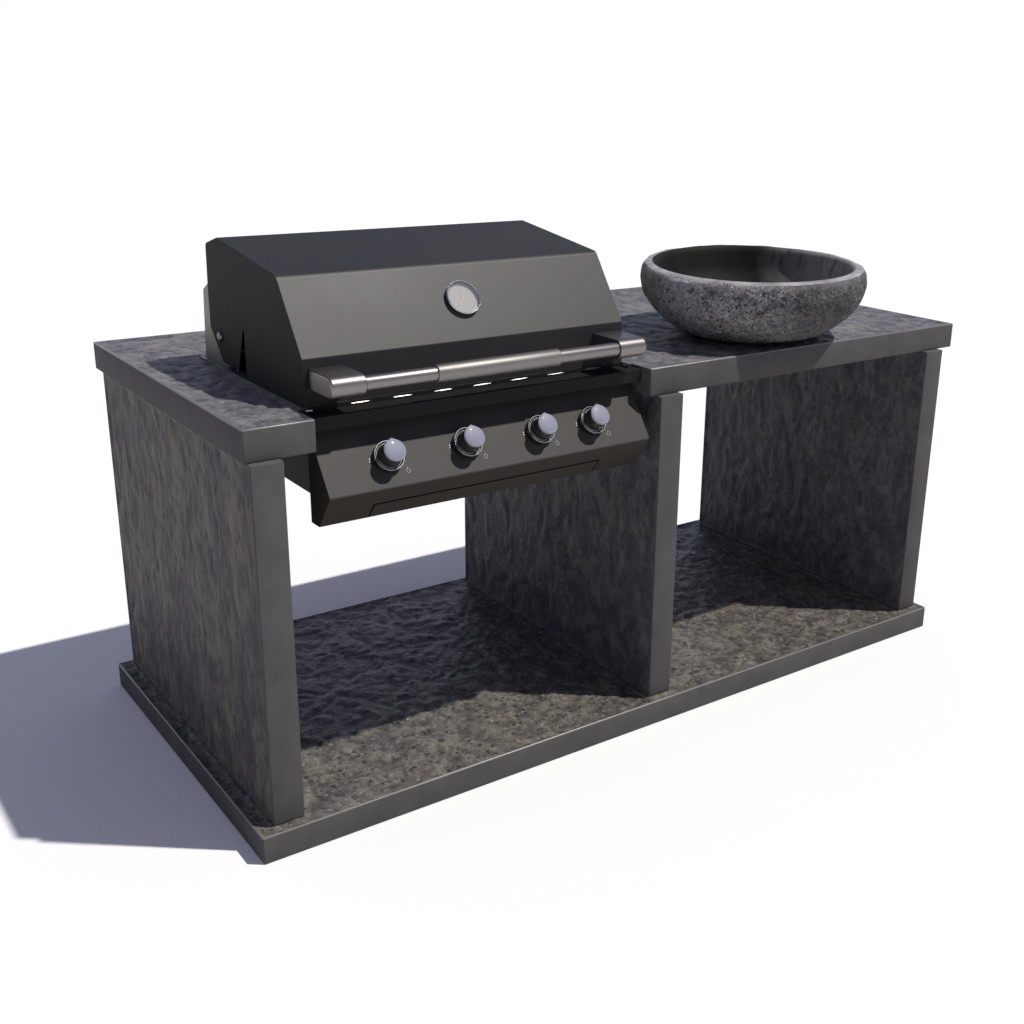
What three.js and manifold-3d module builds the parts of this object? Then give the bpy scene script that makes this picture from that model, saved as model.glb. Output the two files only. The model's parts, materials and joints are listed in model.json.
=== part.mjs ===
// Outdoor kitchen island: three stone legs on a stone plinth carry a stone top,
// with a built-in gas grill on the left and a river-stone basin on the right.
// Millimetres. x runs right, y runs back, z runs up. The origin is the middle of
// the plinth's underside, and the grill has its own zero: the middle of its width,
// on the top's front edge, at the height of the top's surface.
import * as THREE from 'three';
import { mergeVertices } from 'three/addons/utils/BufferGeometryUtils.js';
import Module from 'manifold-3d';

const wasm = await Module();
wasm.setup();

// Fits and facets
const seat = 0.3;
const overrun = 30;
const weld = 0.001;
const fineSides = 24;
const roundSides = 18;
const smallSides = 10;
const hexSides = 6;
const stoneSides = 44;

// Stone slabs
const plinth = { width: 2064, depth: 950, thick: 62, arris: 3 };
// The inner legs stop a little short of the left one at the back
const leg = { thick: 68, height: 772, frontInset: 27, backInset: 11, innerShort: 30, arris: 2.5 };
const bay = { fromEnd: 35.5, grillLeft: 87, grillRight: 35.5, toEnd: 21.5 };
const slab = { leftInset: 31, rightOver: 32, frontInset: 42, backOver: 29, thick: 66, arris: 2.5 };
const well = { clearance: 2.5, rearGap: 3 };

// Half the grill's width, and how far each part of it reaches past that
const grill = { halfWidth: 395, panelOver: 5, rimOver: 10.5, ledgeOver: 14.5, notchOver: 18.5 };
const notch = { halfWidth: grill.halfWidth + grill.notchOver, depth: 90 };

// River-stone basin
const basin = {
  fromLeg: 414, y: 250, height: 182, acrossRadius: 293, alongRadius: 316, turnDeg: 42,
  rimTilt: 0.03, rimWall: 20, floor: 34, lump: 2.5, lumpsRound: 3,
};
const basinHeightShares = [0, 0.03, 0.1, 0.25, 0.5, 0.75, 0.93, 1];
const basinRadiusShares = [0.44, 0.52, 0.63, 0.775, 0.945, 1, 0.975, 0.95];
const bowlDepthShares = [1, 0.985, 0.9, 0.72, 0.45, 0.2, 0];
const bowlRadiusShares = [0, 0.3, 0.56, 0.78, 0.93, 0.985, 1];
const waste = {
  flangeRadius: 36, flangeThick: 3, edge: 1, tailRadius: 20, bore: 17, tailDrop: 31, holeRadius: 3.5,
  holeRing: 10.5, holes: 6, sealRadius: 33, sealThick: 4, nutRadius: 33, nutThick: 13, slabHole: 24,
};

// Lid: an outline from the front foot round to the rear foot
const lid = {
  width: 2 * grill.halfWidth, wall: 3, front: 86, lift: 3.5, bandRun: 3.5, bandRise: 92.5, slopeRun: 105.5,
  slopeRise: 149, topRun: 308, topRise: 41, bevelRun: 72, bevelDrop: 20, rearRun: 2.5,
  rearDrop: 56, sideRun: 2.5, sideDrop: 40, backDrop: 89, footRun: 66, footDrop: 71,
};
const hinge = {
  y: 522, z: 66.6, shank: 5, headRadius: 12, headEdge: 2, crownRadius: 7, crownHeight: 5, headThick: 6,
  tailRadius: 7, tailThick: 4,
};
const spitSlot = { front: 382, tipRadius: 4, tipZ: 100, footWidth: 48, tipSides: 4 };

// Handle on the lid's front band
const handle = {
  y: 0, z: 57, barRadius: 15, sleeveRadius: 18.5, sleeveLength: 302, sleeveChamfer: 3,
  endInset: 10, bracketWidth: 73.5, studInset: 37, noseRadius: 17.5, noseSides: 10, barSeat: 25,
  studRadius: 4,
};

// Thermometer on the lid's front slope
const dial = {
  along: 95, radius: 40, proud: 11, rim: 2.5, ledge: 3, floor: 2.5, faceThick: 1, lensThick: 1.6,
  lensDrop: 1.2, stemRadius: 5, stemLength: 42, nutRadius: 11, nutThick: 6, spindleRadius: 1.5,
  needleLength: 25, needleTail: 8, needleWidth: 2.4, needleThick: 0.8, hubRadius: 4, restDeg: 212,
};

// Firebox, hung in the stone by its rim
const sheet = 2.5;
const rim = {
  halfWidth: grill.halfWidth + grill.rimOver, front: 59, back: 636, thick: 3, frontLip: 84.8,
  lipDrop: 12, inner: 12, horn: 13.5,
};
const box = { halfWidth: grill.halfWidth, ear: 73.3, front: 88, back: 628, depth: 175.5 };
const drain = { halfWidth: 200, margin: 90 };
const shelf = { reach: 16, grateTop: -27, tamerTop: -78 };
const guard = {
  gap: 1.5, lean: 15, height: 155, foldRun: 39, foldRise: 21, cheekFront: 490, cheekTop: 112,
  overhang: 2, slots: 6, slotWidth: 70, slotHeight: 8, slotPitch: 110, slotZ: 95,
};

// Front ledge above the control panel
const ledge = {
  halfWidth: grill.halfWidth + grill.ledgeOver, front: 31, top: -7, drop: 28, footLip: 10,
  back: 84.5, lipTop: 2.7, lipMargin: 20,
};
const vent = { count: 7, pitch: 96.3, length: 62, height: 5, z: -2.4, offset: 14.5, sides: 6 };

// Control panel: a folded sheet case, open at the back
const panel = {
  halfWidth: grill.halfWidth + grill.panelOver, nose: -20, noseZ: -159, faceRun: 88,
  faceRise: 124, chinRun: 57, chinDrop: 74, back: 73,
};
const knobOffsets = [-255.5, -70.5, 114.5, 256.5];
const knobUp = 64;
const bezel = { radius: 33, height: 14, bore: 28.6, floor: 1.4 };
const knob = {
  baseRadius: 27.6, baseFrom: 5.2, baseTo: 12, waistRadius: 24.6, top: 40, capRadius: 23.5,
  capEdge: 3, capDome: 6, domeRings: 4, stemRadius: 4, stemFlat: 1, stemReach: 46, stemGap: 1.2,
  travel: 3.5, peak: 2.2, peakWidth: 5, peakLength: 15,
};
const valve = {
  radius: 14, length: 52, neckRadius: 10, bore: 9, plugLength: 22, outletAt: 32,
  outletRadius: 6, outletReach: 22, nozzleBore: 2.5, saddleRadius: 8,
};
const pipe = {
  radius: 10, z: -158, leftInset: 100, rightInset: 48, legDrop: 46, inlet: 62, inletBore: 6, hexRadius: 14,
  hexLength: 15, sides: 16,
};

// Burners and what lies over them
const burner = {
  radius: 13, bore: 11.5, mouth: 74, backGap: 44, pinRadius: 4, portLength: 34, portWidth: 3,
  portPitch: 76, ports: 5, portStart: 70,
};
const tamer = { halfSpan: 46, height: 40, thick: 2, endGap: 1 };
const grate = { frame: 14, bar: 9, slots: 13, thick: 12, middleGap: 1, sideGap: 1 };
const rack = { front: 332, depth: 132, z: 108, wire: 5, slots: 20, bar: 4, legRadius: 2.5, legInset: 12 };

// Drip tray and its rails
const tray = {
  left: -292, right: 278, faceLength: 46, gap: 1, flange: 10, panInset: 2, panTop: -198.5,
  back: 596, thick: 2, lip: 14,
};
const rail = { web: 2, lip: 9, gap: 1.5 };

// Finishes
const finishes = {
  riven: { color: 0x4b4a4a, roughness: 0.75, metalness: 0 },
  riverStone: { color: 0x5a5a5e, roughness: 0.85, metalness: 0 },
  coat: { color: 0x3d3c3b, roughness: 0.5, metalness: 0.2 },
  steel: { color: 0xa8a29a, roughness: 0.35, metalness: 0.9 },
  chrome: { color: 0xd8d9dc, roughness: 0.12, metalness: 1 },
  castIron: { color: 0x1d1d1e, roughness: 0.7, metalness: 0.4 },
  brass: { color: 0xb08d4a, roughness: 0.35, metalness: 0.9 },
  rubber: { color: 0x161616, roughness: 0.9, metalness: 0 },
  gloss: { color: 0x1c1b1d, roughness: 0.2, metalness: 0 },
  silver: { color: 0xa6a9b8, roughness: 0.4, metalness: 0.5 },
  card: { color: 0xd9d6cc, roughness: 0.6, metalness: 0 },
  pointer: { color: 0xd98a4a, roughness: 0.5, metalness: 0 },
  lens: { color: 0xeef2f4, roughness: 0.05, metalness: 0, transparent: true, opacity: 0.3 },
};
const materials = Object.fromEntries(
  Object.entries(finishes).map(([name, look]) => [name, new THREE.MeshStandardMaterial(look)]),
);

// Handle places across the lid
const bracketOuter = grill.halfWidth - handle.endInset;
const bracketInner = bracketOuter - handle.bracketWidth;
const studX = bracketOuter - handle.studInset;

// Gas pipe's ends, inside the panel's end plates
const pipeLeft = pipe.leftInset - panel.halfWidth;
const pipeRight = panel.halfWidth - pipe.rightInset;

// Places in plan: the grill's bay is as wide as its panel, and the basin stands over the other bay
const leftEdge = -plinth.width / 2;
const frontEdge = -plinth.depth / 2;
const leftLeg = leftEdge + bay.fromEnd;
const grillX = leftLeg + leg.thick + bay.grillLeft + panel.halfWidth;
const middleLeg = grillX + panel.halfWidth + bay.grillRight;
const rightLeg = -leftEdge - bay.toEnd - leg.thick;
const basinX = middleLeg + leg.thick + basin.fromLeg;
const basinY = frontEdge + basin.y;

const island = new THREE.Group();
const grillGroup = new THREE.Group();
const slabBottom = plinth.thick + leg.height;
const slabTop = slabBottom + slab.thick;
const slabFront = frontEdge + slab.frontInset;
grillGroup.position.set(grillX, slabFront, slabTop);
island.add(grillGroup);

// A closed triangle mesh as a solid, with flat triangles left out
function solid(geometry) {
  const bare = geometry.clone();
  bare.deleteAttribute('normal');
  bare.deleteAttribute('uv');
  const merged = mergeVertices(bare, weld);
  const corners = merged.index.array;
  const kept = [];
  for (let i = 0; i < corners.length; i += 3) {
    const [a, b, c] = corners.slice(i, i + 3);
    if (a !== b && b !== c && c !== a) kept.push(a, b, c);
  }
  return new wasm.Manifold(new wasm.Mesh({
    numProp: 3,
    vertProperties: new Float32Array(merged.attributes.position.array),
    triVerts: new Uint32Array(kept),
  }));
}

function union(pieces) {
  return pieces.reduce((whole, piece) => whole.add(piece));
}

function cut(body, tools) {
  return tools.reduce((whole, tool) => whole.subtract(tool), body);
}

function addMesh(name, body, material, parent = grillGroup) {
  const { vertProperties, triVerts } = body.getMesh();
  const geometry = new THREE.BufferGeometry();
  geometry.setAttribute('position', new THREE.BufferAttribute(new Float32Array(vertProperties), 3));
  geometry.setIndex(new THREE.BufferAttribute(new Uint32Array(triVerts), 1));
  const mesh = new THREE.Mesh(geometry, material);
  mesh.name = name;
  parent.add(mesh);
  return mesh;
}

// A block between two corners
function block([x0, y0, z0], [x1, y1, z1]) {
  const geometry = new THREE.BoxGeometry(x1 - x0, y1 - y0, z1 - z0);
  geometry.translate((x0 + x1) / 2, (y0 + y1) / 2, (z0 + z1) / 2);
  return solid(geometry);
}

// An outline of [x, y] points carried up z
function prismZ(outline, z0, z1, holes = []) {
  const shape = new THREE.Shape(outline.map(([x, y]) => new THREE.Vector2(x, y)));
  for (const hole of holes) {
    shape.holes.push(new THREE.Path(hole.map(([x, y]) => new THREE.Vector2(x, y))));
  }
  const geometry = new THREE.ExtrudeGeometry(shape, { depth: z1 - z0, bevelEnabled: false });
  geometry.translate(0, 0, z0);
  return solid(geometry);
}

// A side outline of [y, z] points carried across x
function prismX(outline, x0, x1) {
  const shape = new THREE.Shape(outline.map(([y, z]) => new THREE.Vector2(y, z)));
  const geometry = new THREE.ExtrudeGeometry(shape, { depth: x1 - x0, bevelEnabled: false });
  const turn = new THREE.Matrix4().makeBasis(
    new THREE.Vector3(0, 1, 0), new THREE.Vector3(0, 0, 1), new THREE.Vector3(1, 0, 0),
  );
  geometry.applyMatrix4(turn);
  geometry.translate(x0, 0, 0);
  return solid(geometry);
}

// A slab outline with broken edges, carried up z
function stoneSlab(outline, z0, z1, arris) {
  const shape = new THREE.Shape(outline.map(([x, y]) => new THREE.Vector2(x, y)));
  const geometry = new THREE.ExtrudeGeometry(shape, {
    depth: z1 - z0 - 2 * arris, bevelEnabled: true, bevelSize: arris, bevelThickness: arris,
    bevelOffset: -arris, bevelSegments: 1,
  });
  geometry.translate(0, 0, z0 + arris);
  return solid(geometry);
}

// Radius and height pairs turned about z
function turned(profile, sides) {
  const points = profile.map(([r, z]) => new THREE.Vector2(r, z));
  const geometry = new THREE.LatheGeometry(points, sides);
  geometry.rotateX(Math.PI / 2);
  return solid(geometry);
}

function rodZ(radius, z0, z1, sides = roundSides) {
  return turned([[0, z0], [radius, z0], [radius, z1], [0, z1]], sides);
}

function ringZ(radius, bore, z0, z1, sides = roundSides) {
  return turned([[bore, z0], [radius, z0], [radius, z1], [bore, z1], [bore, z0]], sides);
}

// A solid made about z, turned to lie along x or along y, and moved to a place
function alongX(body, [x, y, z]) {
  return body.rotate([0, 90, 0]).translate([x, y, z]);
}

function alongY(body, [x, y, z]) {
  return body.rotate([-90, 0, 0]).translate([x, y, z]);
}

// The corners of a folded sheet's inner side, each fold mitred
function inset(outline, wall) {
  const normals = outline.slice(1).map(([y, z], i) => {
    const [fromY, fromZ] = outline[i];
    const length = Math.hypot(y - fromY, z - fromZ);
    return [(z - fromZ) / length, (fromY - y) / length];
  });
  return outline.map(([y, z], i) => {
    const a = normals[Math.max(i - 1, 0)];
    const b = normals[Math.min(i, normals.length - 1)];
    const spread = 1 + a[0] * b[0] + a[1] * b[1];
    return [y + wall * (a[0] + b[0]) / spread, z + wall * (a[1] + b[1]) / spread];
  });
}

function folded(outline, wall, x0, x1) {
  return prismX([...outline, ...inset(outline, wall).reverse()], x0, x1);
}

// Stone

function addLegs() {
  const y0 = frontEdge + leg.frontInset;
  const back = frontEdge + plinth.depth - leg.backInset;
  const legs = [['left', leftLeg, back], ['middle', middleLeg, back - leg.innerShort],
    ['right', rightLeg, back - leg.innerShort]];
  for (const [side, x0, y1] of legs) {
    const x1 = x0 + leg.thick;
    const outline = [[x0, y0], [x1, y0], [x1, y1], [x0, y1]];
    const body = stoneSlab(outline, plinth.thick + seat, slabBottom - seat, leg.arris);
    addMesh(`${side}_leg`, body, materials.riven, island);
  }
}

function addPlinth() {
  const x1 = -leftEdge;
  const y1 = -frontEdge;
  const outline = [[leftEdge, frontEdge], [x1, frontEdge], [x1, y1], [leftEdge, y1]];
  addMesh('plinth', stoneSlab(outline, 0, plinth.thick, plinth.arris), materials.riven, island);
}

function addCountertop() {
  const x0 = leftEdge + slab.leftInset;
  const x1 = slab.rightOver - leftEdge;
  const y1 = slab.backOver - frontEdge;
  const middle = grillX;
  const wellHalf = box.halfWidth + well.clearance;
  const notchBack = slabFront + notch.depth;
  const wellBack = slabFront + box.back + well.rearGap;
  const outline = [
    [x0, slabFront], [middle - notch.halfWidth, slabFront], [middle - notch.halfWidth, notchBack],
    [middle - wellHalf, notchBack], [middle - wellHalf, wellBack], [middle + wellHalf, wellBack],
    [middle + wellHalf, notchBack], [middle + notch.halfWidth, notchBack],
    [middle + notch.halfWidth, slabFront], [x1, slabFront], [x1, y1], [x0, y1],
  ];
  const top = stoneSlab(outline, slabBottom, slabTop, slab.arris);
  const wasteHole = rodZ(waste.slabHole, slabBottom - overrun, slabTop + overrun)
    .translate([basinX, basinY, 0]);
  addMesh('countertop', cut(top, [wasteHole]), materials.riven, island);
}

// Basin

// Rings of a turned stone, drawn out to an oval, lumpy and with its rim leaning back
function stoneRings(profile) {
  const points = profile.map(([r, z]) => new THREE.Vector2(r, z));
  const geometry = new THREE.LatheGeometry(points, stoneSides);
  geometry.rotateX(Math.PI / 2);
  const place = geometry.attributes.position;
  for (let i = 0; i < place.count; i += 1) {
    const [x, y, z] = [place.getX(i), place.getY(i), place.getZ(i)];
    const radius = Math.hypot(x, y);
    const wave = Math.cos(basin.lumpsRound * Math.atan2(y, x));
    const swell = 1 + (radius > 0 ? basin.lump * wave / basin.acrossRadius : 0);
    const along = y * swell * basin.alongRadius / basin.acrossRadius;
    const lift = 1 + basin.rimTilt * along / basin.height;
    place.setXYZ(i, x * swell, along, z * lift);
  }
  return solid(geometry);
}

function addBasin() {
  const outside = basinHeightShares.map((share, i) => [
    basin.acrossRadius * basinRadiusShares[i], basin.height * share,
  ]);
  const mouth = basin.acrossRadius * basinRadiusShares[basinRadiusShares.length - 1] - basin.rimWall;
  const deep = basin.height - basin.floor;
  const inside = bowlDepthShares.map((share, i) => [
    mouth * bowlRadiusShares[i], basin.height - deep * share,
  ]);
  const profile = [[0, 0], ...outside, ...inside.reverse()];
  const shell = stoneRings(profile).rotate([0, 0, -basin.turnDeg]);
  const sinkLow = basin.floor - waste.flangeThick;
  const sink = rodZ(waste.flangeRadius + seat, sinkLow, basin.floor + overrun, fineSides);
  const hole = rodZ(waste.tailRadius + seat, -overrun, basin.floor + overrun, fineSides);
  const place = [basinX, basinY, slabTop + seat];
  addMesh('stone_basin', cut(shell, [sink, hole]).translate(place), materials.riverStone, island);
}

function addWaste() {
  const group = new THREE.Group();
  group.position.set(basinX, basinY, slabTop);
  island.add(group);
  const top = basin.floor + 2 * seat;
  const under = -slab.thick;
  const tail = under - waste.tailDrop;
  const body = turned([
    [0, top - waste.flangeThick], [waste.bore, top - waste.flangeThick], [waste.bore, tail],
    [waste.tailRadius, tail], [waste.tailRadius, top - waste.flangeThick],
    [waste.flangeRadius, top - waste.flangeThick], [waste.flangeRadius, top - waste.edge],
    [waste.flangeRadius - waste.edge, top], [0, top],
  ], fineSides);
  const holes = [];
  for (let i = 0; i < waste.holes; i += 1) {
    const angle = 2 * Math.PI * i / waste.holes;
    holes.push(rodZ(waste.holeRadius, top - overrun / 2, top + overrun, smallSides)
      .translate([waste.holeRing * Math.cos(angle), waste.holeRing * Math.sin(angle), 0]));
  }
  addMesh('basin_waste', cut(body, holes), materials.chrome, group);
  const sealTop = under - seat;
  const sealLow = sealTop - waste.sealThick;
  const inner = waste.tailRadius + seat;
  const seal = ringZ(waste.sealRadius, inner, sealLow, sealTop, fineSides);
  addMesh('waste_seal', seal, materials.rubber, group);
  const nutTop = sealLow - seat;
  const hex = rodZ(waste.nutRadius, nutTop - waste.nutThick, nutTop, hexSides);
  const thread = rodZ(inner, tail, under, fineSides);
  addMesh('waste_backnut', cut(hex, [thread]), materials.chrome, group);
}

// Lid

function lidCorners() {
  const foot = [lid.front, lid.lift];
  const steps = [
    [lid.bandRun, lid.bandRise], [lid.slopeRun, lid.slopeRise], [lid.topRun, lid.topRise],
    [lid.bevelRun, -lid.bevelDrop], [lid.rearRun, -lid.rearDrop], [lid.sideRun, -lid.sideDrop],
    [0, -lid.backDrop], [-lid.footRun, -lid.footDrop],
  ];
  const corners = [foot];
  for (const [run, rise] of steps) {
    const [y, z] = corners[corners.length - 1];
    corners.push([y + run, z + rise]);
  }
  return corners;
}

// The slot's outline: a round tip over a foot that widens to the rear
function spitSlotOutline() {
  const tip = spitSlot.front + spitSlot.tipRadius;
  const points = [[spitSlot.front + spitSlot.footWidth, 0], [spitSlot.front + spitSlot.footWidth, -overrun]];
  points.push([spitSlot.front, -overrun]);
  for (let i = spitSlot.tipSides; i >= 0; i -= 1) {
    const angle = Math.PI * i / spitSlot.tipSides;
    points.push([
      tip + spitSlot.tipRadius * Math.cos(angle), spitSlot.tipZ + spitSlot.tipRadius * Math.sin(angle),
    ]);
  }
  return points.reverse();
}

const slopeTurn = Math.atan2(lid.slopeRun, lid.slopeRise);

// Turns a solid made about z to stand square on the lid's slope, at the dial's middle
function onSlope(body) {
  const [, bend] = lidCorners();
  const y = bend[0] + dial.along * Math.sin(slopeTurn);
  const z = bend[1] + dial.along * Math.cos(slopeTurn);
  return body.rotate([90 - THREE.MathUtils.radToDeg(slopeTurn), 0, 0]).translate([0, y, z]);
}

function addLid() {
  const corners = lidCorners();
  const half = lid.width / 2;
  const skin = corners.slice(0, 6);
  const inner = inset(skin, lid.wall);
  const rearEdge = corners[5];
  const past = corners[6][0] + overrun;
  const hollow = [
    [inner[0][0], -overrun], ...inner.slice(0, 5), [inner[5][0], rearEdge[1]], [past, rearEdge[1]],
    [past, -overrun],
  ];
  const shell = prismX(corners, -half, half);
  const tools = [
    prismX(hollow, lid.wall - half, half - lid.wall),
    prismX(spitSlotOutline(), -half - overrun, half + overrun),
    alongX(rodZ(hinge.shank + seat, -half - overrun, half + overrun), [0, hinge.y, hinge.z]),
    onSlope(rodZ(dial.stemRadius + seat, -overrun, overrun, smallSides)),
  ];
  for (const side of [-1, 1]) {
    const hole = rodZ(handle.studRadius + seat, 0, lid.wall + overrun, smallSides);
    tools.push(alongY(hole, [side * studX, lid.front - overrun / 2, handle.z]));
  }
  addMesh('lid', cut(shell, tools), materials.coat);
}

function addHingeRivets() {
  const half = lid.width / 2;
  const cheekInner = half - lid.wall - guard.gap - sheet;
  const head = half + seat;
  const profile = [
    [0, head + hinge.headThick], [hinge.crownRadius, head + hinge.crownHeight],
    [hinge.headRadius, head + hinge.headEdge], [hinge.headRadius, head], [hinge.shank, head],
    [hinge.shank, cheekInner - seat], [hinge.tailRadius, cheekInner - seat],
    [hinge.tailRadius, cheekInner - hinge.tailThick], [0, cheekInner - hinge.tailThick],
  ].reverse();
  for (const [name, side] of [['left', -1], ['right', 1]]) {
    const rivet = turned(profile, roundSides).rotate([0, side * 90, 0]);
    addMesh(`hinge_rivet_${name}`, rivet.translate([0, hinge.y, hinge.z]), materials.steel);
  }
}

// Handle

function addHandle() {
  const barEnd = bracketInner + handle.barSeat;
  const bar = rodZ(handle.barRadius, -barEnd, barEnd);
  addMesh('handle_bar', alongX(bar, [0, handle.y, handle.z]), materials.chrome);
  const half = handle.sleeveLength / 2;
  const bore = handle.barRadius + seat;
  const shoulder = handle.sleeveRadius - handle.sleeveChamfer / 2;
  const sleeve = turned([
    [bore, -half], [shoulder, -half], [handle.sleeveRadius, handle.sleeveChamfer - half],
    [handle.sleeveRadius, half - handle.sleeveChamfer], [shoulder, half], [bore, half], [bore, -half],
  ], roundSides);
  addMesh('handle_sleeve', alongX(sleeve, [0, handle.y, handle.z]), materials.steel);
  for (const [name, side] of [['left', -1], ['right', 1]]) {
    addMesh(`handle_bracket_${name}`, handleBracket(side), materials.chrome);
  }
}

function handleBracket(side) {
  const outline = [];
  for (let i = 0; i <= handle.noseSides; i += 1) {
    const angle = Math.PI / 2 + Math.PI * i / handle.noseSides;
    outline.push([
      handle.y + handle.noseRadius * Math.cos(angle), handle.z + handle.noseRadius * Math.sin(angle),
    ]);
  }
  const [foot, bend] = lidCorners();
  const lean = (bend[0] - foot[0]) / (bend[1] - foot[1]);
  const faceAt = (z) => foot[0] + lean * (z - foot[1]) - seat;
  const low = handle.z - handle.noseRadius;
  const high = handle.z + handle.noseRadius;
  outline.push([faceAt(low), low], [faceAt(high), high]);
  const [x0, x1] = [bracketInner, bracketOuter].map((x) => side * x).sort((a, b) => a - b);
  const body = prismX(outline, x0, x1);
  const barEnd = bracketInner + handle.barSeat + seat;
  const reach = [side * (bracketInner - overrun), side * barEnd].sort((a, b) => a - b);
  const socket = alongX(rodZ(handle.barRadius + seat, ...reach), [0, handle.y, handle.z]);
  const stud = alongY(rodZ(handle.studRadius, 0, handle.noseRadius + lid.wall, smallSides), [
    side * studX, faceAt(handle.z) - handle.noseRadius / 2, handle.z,
  ]);
  return cut(body, [socket]).add(stud);
}

// Thermometer

function addThermometer() {
  const group = new THREE.Group();
  const [, bend] = lidCorners();
  group.position.set(
    0, bend[0] + dial.along * Math.sin(slopeTurn), bend[1] + dial.along * Math.cos(slopeTurn),
  );
  group.rotation.x = Math.PI / 2 - slopeTurn;
  grillGroup.add(group);
  const step = dial.proud - dial.lensDrop - dial.lensThick - seat;
  const wide = dial.radius - dial.rim;
  const narrow = wide - dial.ledge;
  const well = rodZ(dial.spindleRadius + seat, seat + dial.floor / 3, dial.floor + overrun, smallSides);
  const cup = turned([
    [0, -dial.stemLength], [dial.stemRadius, -dial.stemLength], [dial.stemRadius, seat],
    [dial.radius, seat], [dial.radius, dial.proud - dial.lensDrop],
    [dial.radius - dial.lensDrop, dial.proud],
    [wide, dial.proud - dial.lensDrop / 2], [wide, step], [narrow, step], [narrow, dial.floor],
    [0, dial.floor],
  ], fineSides);
  addMesh('thermometer_case', cut(cup, [well]), materials.chrome, group);
  const faceLow = dial.floor + seat;
  const faceTop = faceLow + dial.faceThick;
  const face = ringZ(narrow - seat, dial.spindleRadius + seat, faceLow, faceTop, fineSides);
  addMesh('thermometer_dial', face, materials.card, group);
  const lens = rodZ(wide - seat, step + seat, step + seat + dial.lensThick, fineSides);
  addMesh('thermometer_lens', lens, materials.lens, group);
  const needleLow = faceTop + seat;
  const needleTop = needleLow + dial.needleThick;
  const hub = rodZ(dial.hubRadius, needleLow, needleTop, smallSides);
  const spindle = rodZ(dial.spindleRadius, dial.floor / 2 + seat, needleTop, smallSides);
  const blade = prismZ([
    [-dial.needleWidth / 2, -dial.needleTail], [dial.needleWidth / 2, -dial.needleTail],
    [dial.needleWidth / 6, dial.needleLength], [-dial.needleWidth / 6, dial.needleLength],
  ], needleLow, needleTop);
  const needle = union([hub, spindle, blade]).rotate([0, 0, -dial.restDeg]);
  addMesh('thermometer_needle', needle, materials.pointer, group);
  const nutTop = -lid.wall - seat;
  const nut = rodZ(dial.nutRadius, nutTop - dial.nutThick, nutTop, hexSides);
  const thread = rodZ(dial.stemRadius + seat, -dial.stemLength, 0, smallSides);
  addMesh('thermometer_nut', cut(nut, [thread]), materials.steel, group);
}

// Firebox

function rimOutline() {
  const horn = rim.halfWidth - rim.horn;
  const w = rim.halfWidth;
  return [
    [-w, rim.front], [-horn, rim.front], [-horn, rim.frontLip], [horn, rim.frontLip], [horn, rim.front],
    [w, rim.front], [w, rim.back], [-w, rim.back],
  ];
}

const faceTurn = Math.atan2(panel.faceRise, panel.faceRun);
const burnerZ = panel.noseZ + knobUp * Math.sin(faceTurn) - valve.outletAt * Math.cos(faceTurn);

function shelfPair(topZ) {
  const half = box.halfWidth - sheet / 2;
  const reach = sheet + shelf.reach;
  const front = block([-half, box.front + sheet / 2, topZ - sheet], [half, box.front + reach, topZ]);
  const back = block([-half, box.back - reach, topZ - sheet], [half, box.back - sheet / 2, topZ]);
  return [front, back];
}

function addFirebox() {
  const half = box.halfWidth;
  const inner = half - sheet;
  const opening = rim.halfWidth - rim.inner - rim.horn;
  const frontInner = rim.frontLip + rim.inner + sheet;
  const backInner = box.back - sheet - rim.inner;
  const hole = [[-opening, frontInner], [-opening, backInner], [opening, backInner], [opening, frontInner]];
  const ring = prismZ(rimOutline(), 0, rim.thick, [hole]);
  const lip = block(
    [-rim.halfWidth + rim.horn, rim.frontLip, -rim.lipDrop],
    [rim.halfWidth - rim.horn, rim.frontLip + sheet, sheet / 2],
  );
  const floor = -box.depth;
  const shell = cut(block([-half, box.front, floor], [half, box.back, sheet / 2]), [
    block([-inner, box.front + sheet, floor + sheet], [inner, box.back - sheet, overrun]),
    block(
      [-drain.halfWidth, box.front + drain.margin, floor - overrun],
      [drain.halfWidth, box.back - drain.margin, overrun],
    ),
  ]);
  const ears = [-1, 1].map((side) => {
    const [x0, x1] = [side * half, side * inner].sort((a, b) => a - b);
    return block([x0, box.ear, floor], [x1, box.front + sheet, -rim.lipDrop]);
  });
  const shelves = [...shelfPair(shelf.grateTop), ...shelfPair(shelf.tamerTop)];
  const whole = union([ring, lip, shell, ...ears, ...shelves]);
  const tools = knobOffsets.flatMap((x) => [
    alongY(rodZ(burner.radius + seat, -overrun, sheet + overrun / 3, roundSides), [x, box.front, burnerZ]),
    alongY(rodZ(burner.pinRadius + seat, -overrun, overrun, smallSides), [x, box.back, burnerZ]),
  ]);
  addMesh('firebox', cut(whole, tools), materials.steel);
}

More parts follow.
